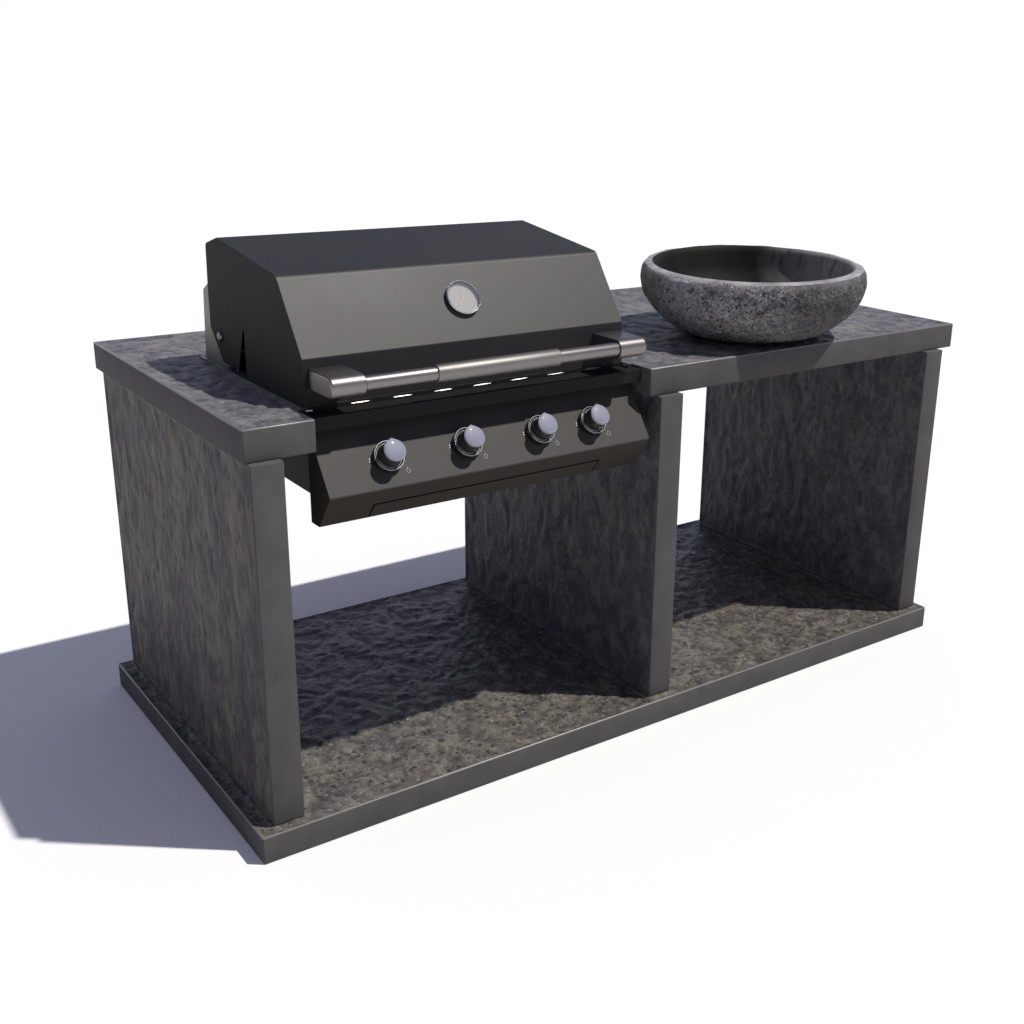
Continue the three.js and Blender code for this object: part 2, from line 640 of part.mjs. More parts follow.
// The guard behind the lid: two cheeks that hold the hinge rivets, and a folded back
function addRearGuard() {
  const foot = rim.thick + seat;
  const outer = lid.width / 2 - lid.wall - guard.gap;
  const backY = rim.back + guard.overhang;
  const bendY = backY - guard.lean;
  const bendZ = foot + guard.height;
  const foldY = bendY - guard.foldRun;
  const foldZ = bendZ + guard.foldRise;
  const cheek = [
    [guard.cheekFront, foot], [backY, foot], [bendY, bendZ], [foldY, foldZ],
    [guard.cheekFront, guard.cheekTop],
  ];
  const pieces = [-1, 1].map((side) => {
    const [x0, x1] = [side * outer, side * (outer - sheet)].sort((a, b) => a - b);
    return prismX(cheek, x0, x1);
  });
  const back = folded([[foldY, foldZ], [bendY, bendZ], [backY, foot]], sheet, -outer, outer);
  const slots = [];
  for (let i = 0; i < guard.slots; i += 1) {
    const x = guard.slotPitch * (i - (guard.slots - 1) / 2);
    slots.push(block(
      [x - guard.slotWidth / 2, bendY - overrun, guard.slotZ],
      [x + guard.slotWidth / 2, backY + overrun, guard.slotZ + guard.slotHeight],
    ));
  }
  const rivets = alongX(rodZ(hinge.shank + seat, -outer - overrun, outer + overrun), [0, hinge.y, hinge.z]);
  addMesh('rear_guard', cut(union([...pieces, back]), [...slots, rivets]), materials.steel);
}

// Front ledge, with lens-shaped slots in its rear riser

function ventSlot(x) {
  const points = [];
  for (const side of [-1, 1]) {
    for (let i = 0; i < vent.sides; i += 1) {
      const share = i / vent.sides;
      points.push([
        x + side * vent.length * (1 / 2 - share), side * vent.height * Math.sin(Math.PI * share) / 2,
      ]);
    }
  }
  return prismZ(points, -overrun, overrun).rotate([90, 0, 0]).translate([0, ledge.back, vent.z]);
}

function addFrontLedge() {
  const half = ledge.halfWidth;
  const low = ledge.top - ledge.drop;
  const section = [
    [ledge.front + ledge.footLip, low], [ledge.front, low], [ledge.front, ledge.top],
    [ledge.back, ledge.top],
  ];
  const skin = folded(section, sheet, -half, half);
  const riserHalf = half - ledge.lipMargin;
  const riser = block(
    [-riserHalf, ledge.back - sheet, ledge.top - sheet / 2], [riserHalf, ledge.back, ledge.lipTop],
  );
  const ends = [-1, 1].map((side) => {
    const [x0, x1] = [side * half, side * (half - sheet)].sort((a, b) => a - b);
    return block([x0, ledge.front, low], [x1, ledge.back, ledge.top]);
  });
  const slots = [];
  for (let i = 0; i < vent.count; i += 1) {
    slots.push(ventSlot(vent.offset + vent.pitch * (i - (vent.count - 1) / 2)));
  }
  const body = cut(union([skin, riser]), slots);
  addMesh('front_ledge', union([body, ...ends]), materials.coat);
}

// Control panel

function panelCorners() {
  const nose = [panel.nose, panel.noseZ];
  const chin = [panel.nose + panel.chinRun, panel.noseZ - panel.chinDrop];
  const crown = [panel.nose + panel.faceRun, panel.noseZ + panel.faceRise];
  return { nose, chin, crown, heel: [panel.back, chin[1]], nape: [panel.back, crown[1]] };
}

// A group whose z stands square on the panel's face, at a knob's middle
function knobGroup(x) {
  const group = new THREE.Group();
  group.position.set(
    x, panel.nose + knobUp * Math.cos(faceTurn), panel.noseZ + knobUp * Math.sin(faceTurn),
  );
  group.rotation.x = faceTurn;
  grillGroup.add(group);
  return group;
}

function onFace(body, x) {
  const y = panel.nose + knobUp * Math.cos(faceTurn);
  const z = panel.noseZ + knobUp * Math.sin(faceTurn);
  return body.rotate([THREE.MathUtils.radToDeg(faceTurn), 0, 0]).translate([x, y, z]);
}

const chinTurn = Math.atan2(panel.chinDrop, panel.chinRun);

// A point on the chin, so far up from its foot and so far in from its outer side
function onChin(up, depth) {
  const { chin } = panelCorners();
  return [
    chin[0] - up * Math.cos(chinTurn) + depth * Math.sin(chinTurn),
    chin[1] + up * Math.sin(chinTurn) + depth * Math.cos(chinTurn),
  ];
}

function addControlPanel() {
  const { nose, chin, crown, heel, nape } = panelCorners();
  const half = panel.halfWidth;
  const skin = folded([nape, crown, nose, chin, heel].reverse(), sheet, -half, half);
  const ends = [-1, 1].map((side) => {
    const [x0, x1] = [side * half, side * (half - sheet)].sort((a, b) => a - b);
    return prismX([nose, chin, heel, nape, crown], x0, x1);
  });
  const outside = onChin(tray.faceLength + tray.gap, -overrun);
  const inside = onChin(tray.faceLength + tray.gap, overrun);
  const mouth = prismX([
    outside, [outside[0], chin[1] - overrun], [heel[0] + overrun, chin[1] - overrun],
    [heel[0] + overrun, inside[1]], inside,
  ], tray.left - tray.gap, tray.right + tray.gap);
  const holes = knobOffsets.map((x) => onFace(rodZ(valve.neckRadius + seat, -sheet * 2, overrun), x));
  addMesh('control_panel', cut(union([skin, ...ends]), [mouth, ...holes]), materials.coat);
}

// Knobs, valves and the gas pipe

function stemOutline(radius) {
  const flat = radius - knob.stemFlat;
  const start = Math.acos(flat / radius);
  const points = [];
  for (let i = 0; i <= smallSides; i += 1) {
    const angle = Math.PI / 2 + start + (2 * Math.PI - 2 * start) * i / smallSides;
    points.push([radius * Math.cos(angle), radius * Math.sin(angle)]);
  }
  return points;
}

function addKnob(x, number) {
  const group = knobGroup(x);
  const bezelBody = turned([
    [knob.stemRadius + knob.stemGap, seat], [bezel.radius, seat], [bezel.radius, bezel.height - bezel.floor],
    [bezel.radius - bezel.floor, bezel.height], [bezel.bore, bezel.height], [bezel.bore, bezel.floor],
    [knob.stemRadius + knob.stemGap, bezel.floor], [knob.stemRadius + knob.stemGap, seat],
  ], fineSides);
  addMesh(`bezel_${number}`, bezelBody, materials.chrome, group);
  const grip = turned([
    [0, knob.baseFrom], [knob.baseRadius, knob.baseFrom], [knob.baseRadius, knob.baseTo],
    [knob.waistRadius, knob.baseTo + bezel.floor], [knob.waistRadius - bezel.floor, knob.top],
    [0, knob.top],
  ], fineSides);
  const stem = prismZ(stemOutline(knob.stemRadius), -knob.stemReach, knob.baseTo);
  addMesh(`knob_${number}`, union([grip, stem]), materials.gloss, group);
  const capLow = knob.top + seat;
  const dome = [];
  for (let i = 0; i < knob.domeRings; i += 1) {
    const angle = Math.PI / 2 * i / knob.domeRings;
    dome.push([knob.capRadius * Math.cos(angle), capLow + knob.capEdge + knob.capDome * Math.sin(angle)]);
  }
  const crown = [0, capLow + knob.capEdge + knob.capDome];
  const cap = turned([[0, capLow], [knob.capRadius, capLow], ...dome, crown], fineSides);
  const peakHigh = capLow + knob.capEdge + knob.peak;
  const peak = prismZ([
    [-knob.peakWidth / 2, knob.capRadius - knob.peakLength],
    [knob.peakWidth / 2, knob.capRadius - knob.peakLength],
    [knob.peakWidth / 2, knob.capRadius - knob.peak], [0, knob.capRadius + knob.peak / 2],
    [-knob.peakWidth / 2, knob.capRadius - knob.peak],
  ], capLow, peakHigh);
  addMesh(`knob_cap_${number}`, union([cap, peak]), materials.silver, group);
}

// The valves' and the pipe's middle, behind the panel's face
const gasY = panel.nose + knobUp * Math.cos(faceTurn) + valve.outletAt * Math.sin(faceTurn);

function addValve(x, number) {
  const back = -sheet - seat;
  const neck = rodZ(valve.neckRadius, back - valve.length / 2, 0);
  const barrel = rodZ(valve.radius, back - valve.length, back);
  const outlet = rodZ(valve.outletRadius, 0, valve.radius + valve.outletReach, smallSides);
  const jet = rodZ(valve.nozzleBore, valve.radius, valve.radius + valve.outletReach + overrun, smallSides);
  const saddle = rodZ(valve.saddleRadius, pipe.z + pipe.radius + seat, burnerZ, smallSides);
  const plugLow = seat - knob.stemReach;
  const plugHigh = plugLow + valve.plugLength;
  const chamber = rodZ(valve.bore, plugLow - knob.travel - 2 * seat, plugHigh + seat);
  const stemHole = rodZ(knob.stemRadius + 2 * seat, plugHigh, overrun, smallSides);
  const shell = union([
    onFace(neck, x), onFace(barrel, x), alongY(outlet, [x, gasY, burnerZ]), saddle.translate([x, gasY, 0]),
  ]);
  const bores = [alongY(jet, [x, gasY, burnerZ]), onFace(chamber, x), onFace(stemHole, x)];
  addMesh(`valve_${number}`, cut(shell, bores), materials.brass);
  const group = knobGroup(x);
  const plug = rodZ(valve.bore - seat, plugLow, plugHigh);
  const socket = prismZ(stemOutline(knob.stemRadius + seat), plugLow - overrun, plugHigh + overrun);
  addMesh(`valve_plug_${number}`, cut(plug, [socket]), materials.brass, group);
}

function addGasPipe() {
  const low = pipe.z - pipe.legDrop;
  const corner = [pipeRight, gasY, low];
  const ball = solid(new THREE.SphereGeometry(pipe.radius, pipe.sides, pipe.sides / 2)).rotate([90, 0, 0]);
  const hex = rodZ(pipe.hexRadius, pipe.inlet - pipe.hexLength, pipe.inlet, hexSides);
  const pieces = [
    alongX(rodZ(pipe.radius, pipeLeft, pipeRight, pipe.sides), [0, gasY, pipe.z]),
    rodZ(pipe.radius, low, pipe.z, pipe.sides).translate([pipeRight, gasY, 0]),
    alongY(rodZ(pipe.radius, 0, pipe.inlet, pipe.sides), corner),
    alongY(hex, corner), ball.translate([pipeRight, gasY, pipe.z]), ball.translate(corner),
  ];
  const bore = alongY(rodZ(pipe.inletBore, pipe.inlet / 2, pipe.inlet + overrun, smallSides), corner);
  addMesh('gas_pipe', cut(union(pieces), [bore]), materials.steel);
}

// Burners, flame tamers, grates and rack

function addBurner(x, number) {
  const mouth = burner.mouth;
  const end = box.back - burner.backGap;
  const length = end - mouth;
  const tube = alongY(rodZ(burner.radius, 0, length), [x, mouth, burnerZ]);
  const bore = alongY(rodZ(burner.bore, -overrun, length - sheet), [x, mouth, burnerZ]);
  const pinLength = box.back - end + sheet;
  const pin = alongY(rodZ(burner.pinRadius, 0, pinLength, smallSides), [x, end - sheet, burnerZ]);
  const ports = [];
  for (let i = 0; i < burner.ports; i += 1) {
    const y = mouth + burner.portStart + burner.portPitch * i;
    ports.push(block(
      [x - burner.portWidth / 2, y, burnerZ],
      [x + burner.portWidth / 2, y + burner.portLength, burnerZ + overrun],
    ));
  }
  addMesh(`burner_${number}`, union([cut(tube, [bore, ...ports]), pin]), materials.steel);
}

function addTamer(x, number) {
  const low = shelf.tamerTop + seat;
  const high = low + tamer.height;
  const half = tamer.halfSpan;
  const t = tamer.thick;
  const outline = [
    [x - half, low], [x - half + 2 * t, low], [x, high - 2 * t], [x + half - 2 * t, low], [x + half, low],
    [x + t, high], [x - t, high],
  ];
  const y0 = box.front + sheet + tamer.endGap;
  const y1 = box.back - sheet - tamer.endGap;
  const body = prismZ(outline, -y1, -y0).rotate([90, 0, 0]);
  addMesh(`flame_tamer_${number}`, body, materials.steel);
}

// A flat bar grid: a frame with long slots left between its bars
function barGrid([x0, y0], [x1, y1], frame, bar, slots, z0, z1) {
  const pitch = (x1 - x0 - 2 * frame + bar) / slots;
  const gaps = [];
  for (let i = 0; i < slots; i += 1) {
    const left = x0 + frame + pitch * i;
    gaps.push(block([left, y0 + frame, z0 - overrun], [left + pitch - bar, y1 - frame, z1 + overrun]));
  }
  return cut(block([x0, y0, z0], [x1, y1, z1]), gaps);
}

function addGrates() {
  const z0 = shelf.grateTop + seat;
  const y0 = box.front + sheet + grate.sideGap;
  const y1 = box.back - sheet - grate.sideGap;
  const outer = box.halfWidth - sheet - rim.inner - grate.sideGap;
  for (const [name, x0, x1] of [['left', -outer, -grate.middleGap], ['right', grate.middleGap, outer]]) {
    const body = barGrid([x0, y0], [x1, y1], grate.frame, grate.bar, grate.slots, z0, z0 + grate.thick);
    addMesh(`grate_${name}`, body, materials.castIron);
  }
}

function addWarmingRack() {
  const outer = lid.width / 2 - lid.wall - rack.legRadius;
  const y1 = rack.front + rack.depth;
  const grid = barGrid(
    [-outer, rack.front], [outer, y1], rack.wire, rack.bar, rack.slots, rack.z, rack.z + rack.wire,
  );
  const legs = [];
  for (const side of [-1, 1]) {
    for (const y of [rack.front + rack.legInset, y1 - rack.legInset]) {
      legs.push(rodZ(rack.legRadius, rim.thick + seat, rack.z + rack.wire / 2, smallSides)
        .translate([side * (outer - rack.legRadius), y, 0]));
    }
  }
  addMesh('warming_rack', union([grid, ...legs]), materials.steel);
}

// Drip tray

function addDripTray() {
  const { chin } = panelCorners();
  const top = onChin(tray.faceLength, 0);
  const low = chin[1];
  const face = folded([[chin[0] + tray.lip, low], chin, top], tray.thick, tray.left, tray.right);
  const panLeft = tray.left + tray.flange + tray.panInset;
  const panRight = tray.right - tray.flange - tray.panInset;
  const panLow = low + seat;
  const t = tray.thick;
  const frontAt = (z) => chin[0] + (top[0] - chin[0]) * (z - chin[1]) / (top[1] - chin[1]);
  const pan = prismX([
    [frontAt(panLow) + t, panLow], [tray.back, panLow], [tray.back, tray.panTop],
    [frontAt(tray.panTop) + t / 2, tray.panTop],
  ], panLeft, panRight);
  const hollow = prismX([
    [frontAt(panLow + t) + 2 * t, panLow + t], [tray.back - t, panLow + t], [tray.back - t, overrun],
    [frontAt(tray.panTop) + 2 * t, overrun], [frontAt(tray.panTop) + 2 * t, tray.panTop],
  ], panLeft + t, panRight - t);
  const wings = block(
    [tray.left + tray.panInset, panel.back + seat, tray.panTop - t],
    [tray.right - tray.panInset, tray.back, tray.panTop],
  );
  const body = union([face, cut(union([pan, wings]), [hollow])]);
  addMesh('drip_tray', body, materials.coat);
}

function addTrayRails() {
  const under = -box.depth - seat;
  const lipTop = tray.panTop - tray.thick - seat;
  const sides = [['left', tray.left, -1], ['right', tray.right, 1]];
  for (const [name, edge, side] of sides) {
    const inner = edge + side * rail.gap;
    const outer = inner + side * rail.web;
    const lip = edge - side * rail.lip;
    const foot = outer + side * rail.lip;
    const low = lipTop - rail.web;
    const outline = [
      [foot, under], [foot, under - rail.web], [outer, under - rail.web], [outer, low], [lip, low],
      [lip, lipTop], [inner, lipTop], [inner, under],
    ];
    const body = prismZ(side < 0 ? outline : outline.reverse(), -tray.back, -panel.back - overrun / 3)
      .rotate([90, 0, 0]);
    addMesh(`tray_rail_${name}`, body, materials.steel);
  }
}

addPlinth();
addLegs();
addCountertop();
addBasin();
addWaste();
addLid();
addHingeRivets();
addHandle();
addThermometer();
addFirebox();
addRearGuard();
addFrontLedge();
addControlPanel();
addGasPipe();
knobOffsets.forEach((x, index) => {
  addKnob(x, index + 1);
  addValve(x, index + 1);
  addBurner(x, index + 1);
  addTamer(x, index + 1);
});
addGrates();
addWarmingRack();
addDripTray();
addTrayRails();

export default island;
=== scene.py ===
import json
import math

import bmesh
import bpy
from mathutils import Matrix, Vector, noise

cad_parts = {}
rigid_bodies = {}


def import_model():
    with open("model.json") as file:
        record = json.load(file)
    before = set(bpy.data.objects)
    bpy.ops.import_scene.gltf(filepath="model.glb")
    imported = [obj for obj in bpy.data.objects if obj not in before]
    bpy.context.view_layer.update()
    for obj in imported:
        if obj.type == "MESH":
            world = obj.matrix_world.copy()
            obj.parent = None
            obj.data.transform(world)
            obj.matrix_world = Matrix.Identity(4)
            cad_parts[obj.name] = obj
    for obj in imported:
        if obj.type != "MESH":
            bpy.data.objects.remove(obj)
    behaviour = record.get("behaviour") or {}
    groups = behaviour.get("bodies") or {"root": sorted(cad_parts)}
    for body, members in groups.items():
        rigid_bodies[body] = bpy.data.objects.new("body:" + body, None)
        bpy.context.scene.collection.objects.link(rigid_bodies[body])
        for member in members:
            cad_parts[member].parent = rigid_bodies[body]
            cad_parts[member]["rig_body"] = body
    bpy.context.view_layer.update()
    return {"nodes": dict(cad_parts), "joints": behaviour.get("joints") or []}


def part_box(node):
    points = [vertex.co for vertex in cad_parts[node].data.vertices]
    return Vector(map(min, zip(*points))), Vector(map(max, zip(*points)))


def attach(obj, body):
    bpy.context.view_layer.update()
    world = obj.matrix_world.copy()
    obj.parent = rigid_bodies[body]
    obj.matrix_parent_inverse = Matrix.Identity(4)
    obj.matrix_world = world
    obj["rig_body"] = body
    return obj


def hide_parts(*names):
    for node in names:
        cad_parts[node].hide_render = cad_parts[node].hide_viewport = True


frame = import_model()
joints = {joint["name"]: joint for joint in frame["joints"]}
mm = 0.001
# a fixed start for the vector noise, which otherwise starts from the clock and changes the stone
noiseSeed = 7
noise.seed_set(noiseSeed)
print("frame loaded:", len(frame["nodes"]), "nodes")


# Camera: stands at the front left at eye height, and looks a little down
cameraSetup = {
    "place": (-1.798, -2.5445, 1.521),
    "turn": 0.6424,
    "down": 0.3229,
    "roll": -0.0213,
    "lens": 43.17,
    "sensor": 36,
    "shift": (-0.0683, -0.0198),
    "clip": (0.05, 100),
}


def addCamera(setup):
    ahead = Vector((
        math.sin(setup["turn"]) * math.cos(setup["down"]),
        math.cos(setup["turn"]) * math.cos(setup["down"]),
        -math.sin(setup["down"]),
    ))
    level = Vector((math.cos(setup["turn"]), -math.sin(setup["turn"]), 0))
    sink = ahead.cross(level)
    across = level * math.cos(setup["roll"]) + sink * math.sin(setup["roll"])
    up = level * math.sin(setup["roll"]) - sink * math.cos(setup["roll"])
    data = bpy.data.cameras.new("camera")
    data.lens = setup["lens"]
    data.sensor_width = setup["sensor"]
    data.shift_x, data.shift_y = setup["shift"]
    data.clip_start, data.clip_end = setup["clip"]
    data.dof.use_dof = False
    eye = bpy.data.objects.new("camera", data)
    turn = Matrix((across, up, -ahead)).transposed().to_4x4()
    eye.matrix_world = Matrix.Translation(setup["place"]) @ turn
    bpy.context.scene.collection.objects.link(eye)
    bpy.context.scene.camera = eye


addCamera(cameraSetup)
print("camera set")


# Shader maths: wraps one socket, so that values add and multiply as plain numbers do
class Wire:
    def __init__(self, tree, socket):
        self.tree = tree
        self.socket = socket

    def make(self, kind, settings=None, inputs=None, output=0):
        node = self.tree.nodes.new(kind)
        for name, value in (settings or {}).items():
            if name == "stops":
                ramp = node.color_ramp
                while len(ramp.elements) < len(value):
                    ramp.elements.new(1)
                for element, (place, shade) in zip(ramp.elements, value):
                    element.position = place
                    element.color = (*shade, 1)
            else:
                setattr(node, name, value)
        for key, value in (inputs or {}).items():
            if isinstance(value, Wire):
                self.tree.links.new(value.socket, node.inputs[key])
            else:
                node.inputs[key].default_value = value
        return Wire(self.tree, node.outputs[output])

    def maths(self, operation, first, second):
        return self.make("ShaderNodeMath", {"operation": operation}, {0: first, 1: second})

    def __add__(self, other):
        return self.maths("ADD", self, other)

    def __radd__(self, other):
        return self.maths("ADD", other, self)

    def __sub__(self, other):
        return self.maths("SUBTRACT", self, other)

    def __rsub__(self, other):
        return self.maths("SUBTRACT", other, self)

    def __mul__(self, other):
        return self.maths("MULTIPLY", self, other)

    def __rmul__(self, other):
        return self.maths("MULTIPLY", other, self)

    def above(self, low, high):
        ranges = {"From Min": low, "From Max": high}
        return self.make("ShaderNodeMapRange", {"clamp": True}, {"Value": self, **ranges})

    def stretched(self, scale, move=(0, 0, 0)):
        return self.make("ShaderNodeMapping", {}, {"Vector": self, "Scale": scale, "Location": move})

    def along(self, axis):
        return self.make("ShaderNodeSeparateXYZ", {}, {0: self}, axis)

    def clouds(self, scale, detail=3, rough=0.55, distortion=0):
        inputs = {"Vector": self, "Scale": scale, "Detail": detail, "Roughness": rough}
        return self.make("ShaderNodeTexNoise", {}, {**inputs, "Distortion": distortion})

    def cells(self, scale, feature="F1", output=0):
        inputs = {"Vector": self, "Scale": scale}
        return self.make("ShaderNodeTexVoronoi", {"feature": feature}, inputs, output)

    def tinted(self, low, high):
        # 0, 6 and 7 are the colour mix's factor and colours, and 2 is its result
        settings = {"data_type": "RGBA", "blend_type": "MIX"}
        return self.make("ShaderNodeMix", settings, {0: self, 6: asColour(low), 7: asColour(high)}, 2)

    def into(self, shader, name):
        self.tree.links.new(self.socket, shader.inputs[name])

    def asBump(self, shader, depth, strength=1):
        inputs = {"Height": self, "Distance": depth, "Strength": strength}
        self.make("ShaderNodeBump", {}, inputs).into(shader, "Normal")


def asColour(value):
    return value if isinstance(value, Wire) else (*value[:3], 1)


def scaled(colour, gain):
    return tuple(gain * part for part in colour)


def startFinish(name, **constants):
    material = bpy.data.materials.new(name)
    material.use_nodes = True
    tree = material.node_tree
    shader = next(node for node in tree.nodes if node.type == "BSDF_PRINCIPLED")
    for socket, value in constants.items():
        shader.inputs[socket.replace("_", " ")].default_value = value
    coordinates = tree.nodes.new("ShaderNodeTexCoord")
    return material, shader, Wire(tree, coordinates.outputs["Object"])


# Stone finishes
def reliefOf(start):
    # height of the riven or pitted surface at each point, kept with the mesh: 0 in hollows, 1 on crests
    return start.make("ShaderNodeAttribute", {"attribute_name": "relief"}, {}, 2)


topStone = {
    "warm": (0.212, 0.202, 0.188), "cool": (0.172, 0.173, 0.190), "dark": (0.036, 0.036, 0.048),
    "light": (0.310, 0.304, 0.296), "bloom": (0.170, 0.162, 0.154), "rough": 0.40, "relief": 5.0 * mm,
    "stretch": (1, 0.7, 1), "patch": 7, "specks": 0.1, "fine": 0.34, "glints": 0.3, "pits": 0.3,
    "gloss": 0.32,
}
legStone = {
    "warm": (0.142, 0.130, 0.099), "cool": (0.070, 0.064, 0.076), "dark": (0.014, 0.013, 0.015),
    "light": (0.180, 0.168, 0.146), "bloom": (0.095, 0.086, 0.080), "rough": 0.52, "relief": 3.2 * mm,
    "stretch": (1, 1.15, 0.45), "patch": 11, "specks": 0.1, "fine": 0.24, "glints": 0.1, "pits": 1.0,
    "gloss": 0.22,
}
# a cooler copy of the leg stone for the middle and right legs in the bays' shade: its blue tint and light
# wisps are painted sky reflection
innerLegStone = {
    "warm": (0.124, 0.119, 0.119), "cool": (0.070, 0.070, 0.087), "dark": (0.016, 0.015, 0.020),
    "light": (0.200, 0.196, 0.196), "bloom": (0.095, 0.090, 0.092), "rough": 0.50, "relief": 4.5 * mm,
    "stretch": (1, 1, 0.75), "patch": 17, "specks": 0.1, "fine": 0.35, "glints": 0.1, "pits": 0.5,
    "gloss": 0.35,
}
plinthStone = {
    "warm": (0.184, 0.168, 0.139), "cool": (0.118, 0.112, 0.102), "dark": (0.017, 0.015, 0.016),
    "light": (0.300, 0.278, 0.238), "bloom": (0.125, 0.090, 0.070), "rough": 0.30, "relief": 5.0 * mm,
    "stretch": (1, 1, 1), "patch": 11, "specks": 1.0, "fine": 0.36, "glints": 1.0, "pits": 0.4, "gloss": 0.5,
}
# what all riven faces share: the scale of each pattern, and where it fades in
rivenShared = {
    "mottle": 54, "speck": 60, "flake": 66, "fine": 240, "grain": 900, "pit": 32, "pitField": 14,
    "glint": 190, "patchFade": (0.44, 0.56), "speckFade": (0.34, 0.24), "speckCells": 0.52,
    "flakeFade": (0.36, 0.26), "flakeCells": 0.54, "pitFade": (0.13, 0.08), "pitFieldFade": (0.52, 0.58),
    "glintCells": 0.945, "glintOn": (0.46, 0.54), "glintFade": (0.46, 0.34),
    "glintColour": (0.90, 0.89, 0.85), "ragged": 1.1, "deep": 1.8, "roughMottle": 0.16,
}
# laid over the base in this order: pattern, where it fades in, share, what scales the share, colour; the
# relief rows are painted shade in the hollows and painted light on the crests
rivenLayers = (
    ("mottle", (0.52, 0.34), 0.80, None, "deep"), ("mottle", (0.54, 0.70), 0.60, None, "light"),
    ("bloom", (0.54, 0.62), 0.60, "specks", "bloom"), ("relief", (0.50, 0.10), 0.55, None, "dark"),
    ("relief", (0.72, 1.0), 0.35, None, "light"), ("fine", (0.54, 0.70), 1, "fine", "light"),
    ("fine", (0.47, 0.34), 1, "fine", "dark"), ("flake", None, 0.70, "specks", "light"),
    ("speck", None, 0.85, "specks", "dark"), ("grain", (0.40, 0.70), 0.20, None, "light"),
    ("pits", None, 0.90, None, "dark"),
)
rivenBumps = {"mottle": 0.75, "flake": 0.25, "speck": 0.30, "fine": 0.20, "pits": 0.60}


def chosen(cells, low):
    # 1 in the few cells whose own random shade lies above a level
    return cells.above(low, low + 0.02)


def scattered(spot, kind, ragged):
    # flecks with ragged edges, in the cells chosen for them
    scale, fade = rivenShared[kind], rivenShared[kind + "Fade"]
    near = (spot.cells(scale) + ragged).above(*fade)
    return near * chosen(spot.cells(scale, "F1", 1), rivenShared[kind + "Cells"])


def rivenStone(name, look, shift=(0, 0, 0)):
    material, shader, place = startFinish(name, Specular_IOR_Level=look["gloss"])
    spot = place.stretched(look["stretch"], shift)
    shared = rivenShared
    patches = spot.clouds(look["patch"], 4, 0.62, 0.6).above(*shared["patchFade"])
    mottle = spot.clouds(shared["mottle"], 4, 0.62, 0.6)
    fine = spot.clouds(shared["fine"], 3, 0.65)
    ragged = fine * shared["ragged"] - shared["ragged"] / 2
    pitField = spot.clouds(shared["pitField"], 2).above(*shared["pitFieldFade"])
    patterns = {
        "mottle": mottle, "fine": fine, "relief": reliefOf(place),
        "speck": scattered(spot, "speck", ragged), "flake": scattered(spot, "flake", ragged),
        "grain": spot.clouds(shared["grain"], 2, 0.6), "bloom": spot.clouds(shared["speck"], 2, 0.5, 0.5),
        "pits": spot.cells(shared["pit"]).above(*shared["pitFade"]) * pitField * look["pits"],
    }
    colours = {**look, "deep": scaled(look["dark"], shared["deep"])}
    base = patches.tinted(look["cool"], look["warm"])
    for kind, fade, share, scaledBy, colour in rivenLayers:
        mask = patterns[kind].above(*fade) if fade else patterns[kind]
        base = (mask * (share * look.get(scaledBy, 1))).tinted(base, colours[colour])
    glint = chosen(spot.cells(shared["glint"], "F1", 1), shared["glintCells"])
    glint = glint * mottle.above(*shared["glintOn"]) * look["glints"]
    glint = glint * spot.cells(shared["glint"]).above(*shared["glintFade"])
    glint.tinted(base, shared["glintColour"]).into(shader, "Base Color")
    (look["rough"] + mottle * shared["roughMottle"]).into(shader, "Roughness")
    bumps = mottle * rivenBumps["mottle"] + patterns["flake"] * (rivenBumps["flake"] * look["specks"])
    bumps = bumps - patterns["speck"] * (rivenBumps["speck"] * look["specks"]) + fine * rivenBumps["fine"]
    (bumps - patterns["pits"] * rivenBumps["pits"]).asBump(shader, look["relief"])
    return material


honedLook = {"low": (0.104, 0.098, 0.096), "high": (0.126, 0.119, 0.117), "fleck": (0.170, 0.163, 0.158)}


def honedStone(name, gain=1.0, rough=0.66, gloss=0.06):
    low, high, spark = (scaled(honedLook[key], gain) for key in ("low", "high", "fleck"))
    material, shader, place = startFinish(name, Specular_IOR_Level=gloss)
    cloud = place.clouds(14, 4, 0.6)
    fleck = place.clouds(760, 2, 0.7)
    base = cloud.above(0.35, 0.65).tinted(low, high)
    (fleck.above(0.58, 0.72) * 0.45).tinted(base, spark).into(shader, "Base Color")
    (rough + cloud * 0.12 - fleck * 0.06).into(shader, "Roughness")
    (fleck + cloud * 0.4).asBump(shader, 0.12 * mm, 0.6)
    return material


# across the basin, outside and in the bowl, light and shade are painted into the colours
boulderLook = {
    "dark": (0.014, 0.013, 0.016), "mid": (0.345, 0.335, 0.335), "light": (0.76, 0.735, 0.71),
    "paintedShade": (0.070, 0.066, 0.068), "brown": (0.20, 0.17, 0.10), "olive": (0.0095, 0.0100, 0.0070),
    "oliveHigh": (0.018, 0.018, 0.015), "rim": (0.26, 0.255, 0.265), "rimHigh": (0.52, 0.51, 0.52),
    "bowlPaintedLight": (0.345, 0.320, 0.298), "ridge": 92, "chip": 190, "paintedLightUntil": -0.14, "paintedShadeFrom": 0.10,
    "shoulder": (1.048, 1.074), "stained": (-0.235, -0.275), "paintedLightLeft": (-0.08, -0.24), "bowlLightFrom": 0.07,
    "bowlLightUntil": 0.25, "way": (0.8, -0.6), "paleInPaintedShade": 0.4, "scratchLight": 1.7, "scratchDark": 0.5,
}
# dark patches outside, and painted shade in the relief's hollows: pattern, where it fades in, share, and
# whether calm stone shows less of it
boulderDarkAndShade = (
    ("blotch", (0.50, 0.36), 0.45, True), ("broad", (0.50, 0.40), 0.50, False),
    ("relief", (0.40, 0.10), 0.70, True), ("chip", (0.50, 0.42), 0.90, True),
)


def acrossBasin(place):
    # metres from the waste's axis, from the left side to the right side; light and shade are painted along it
    low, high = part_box("basin_waste")
    way = boulderLook["way"]
    return (place.along(0) - (low.x + high.x) / 2) * way[0] + (place.along(1) - (low.y + high.y) / 2) * way[1]


def wavering(value, waver, reach):
    # moves a border to and fro by half the reach
    return value + waver * reach - reach / 2


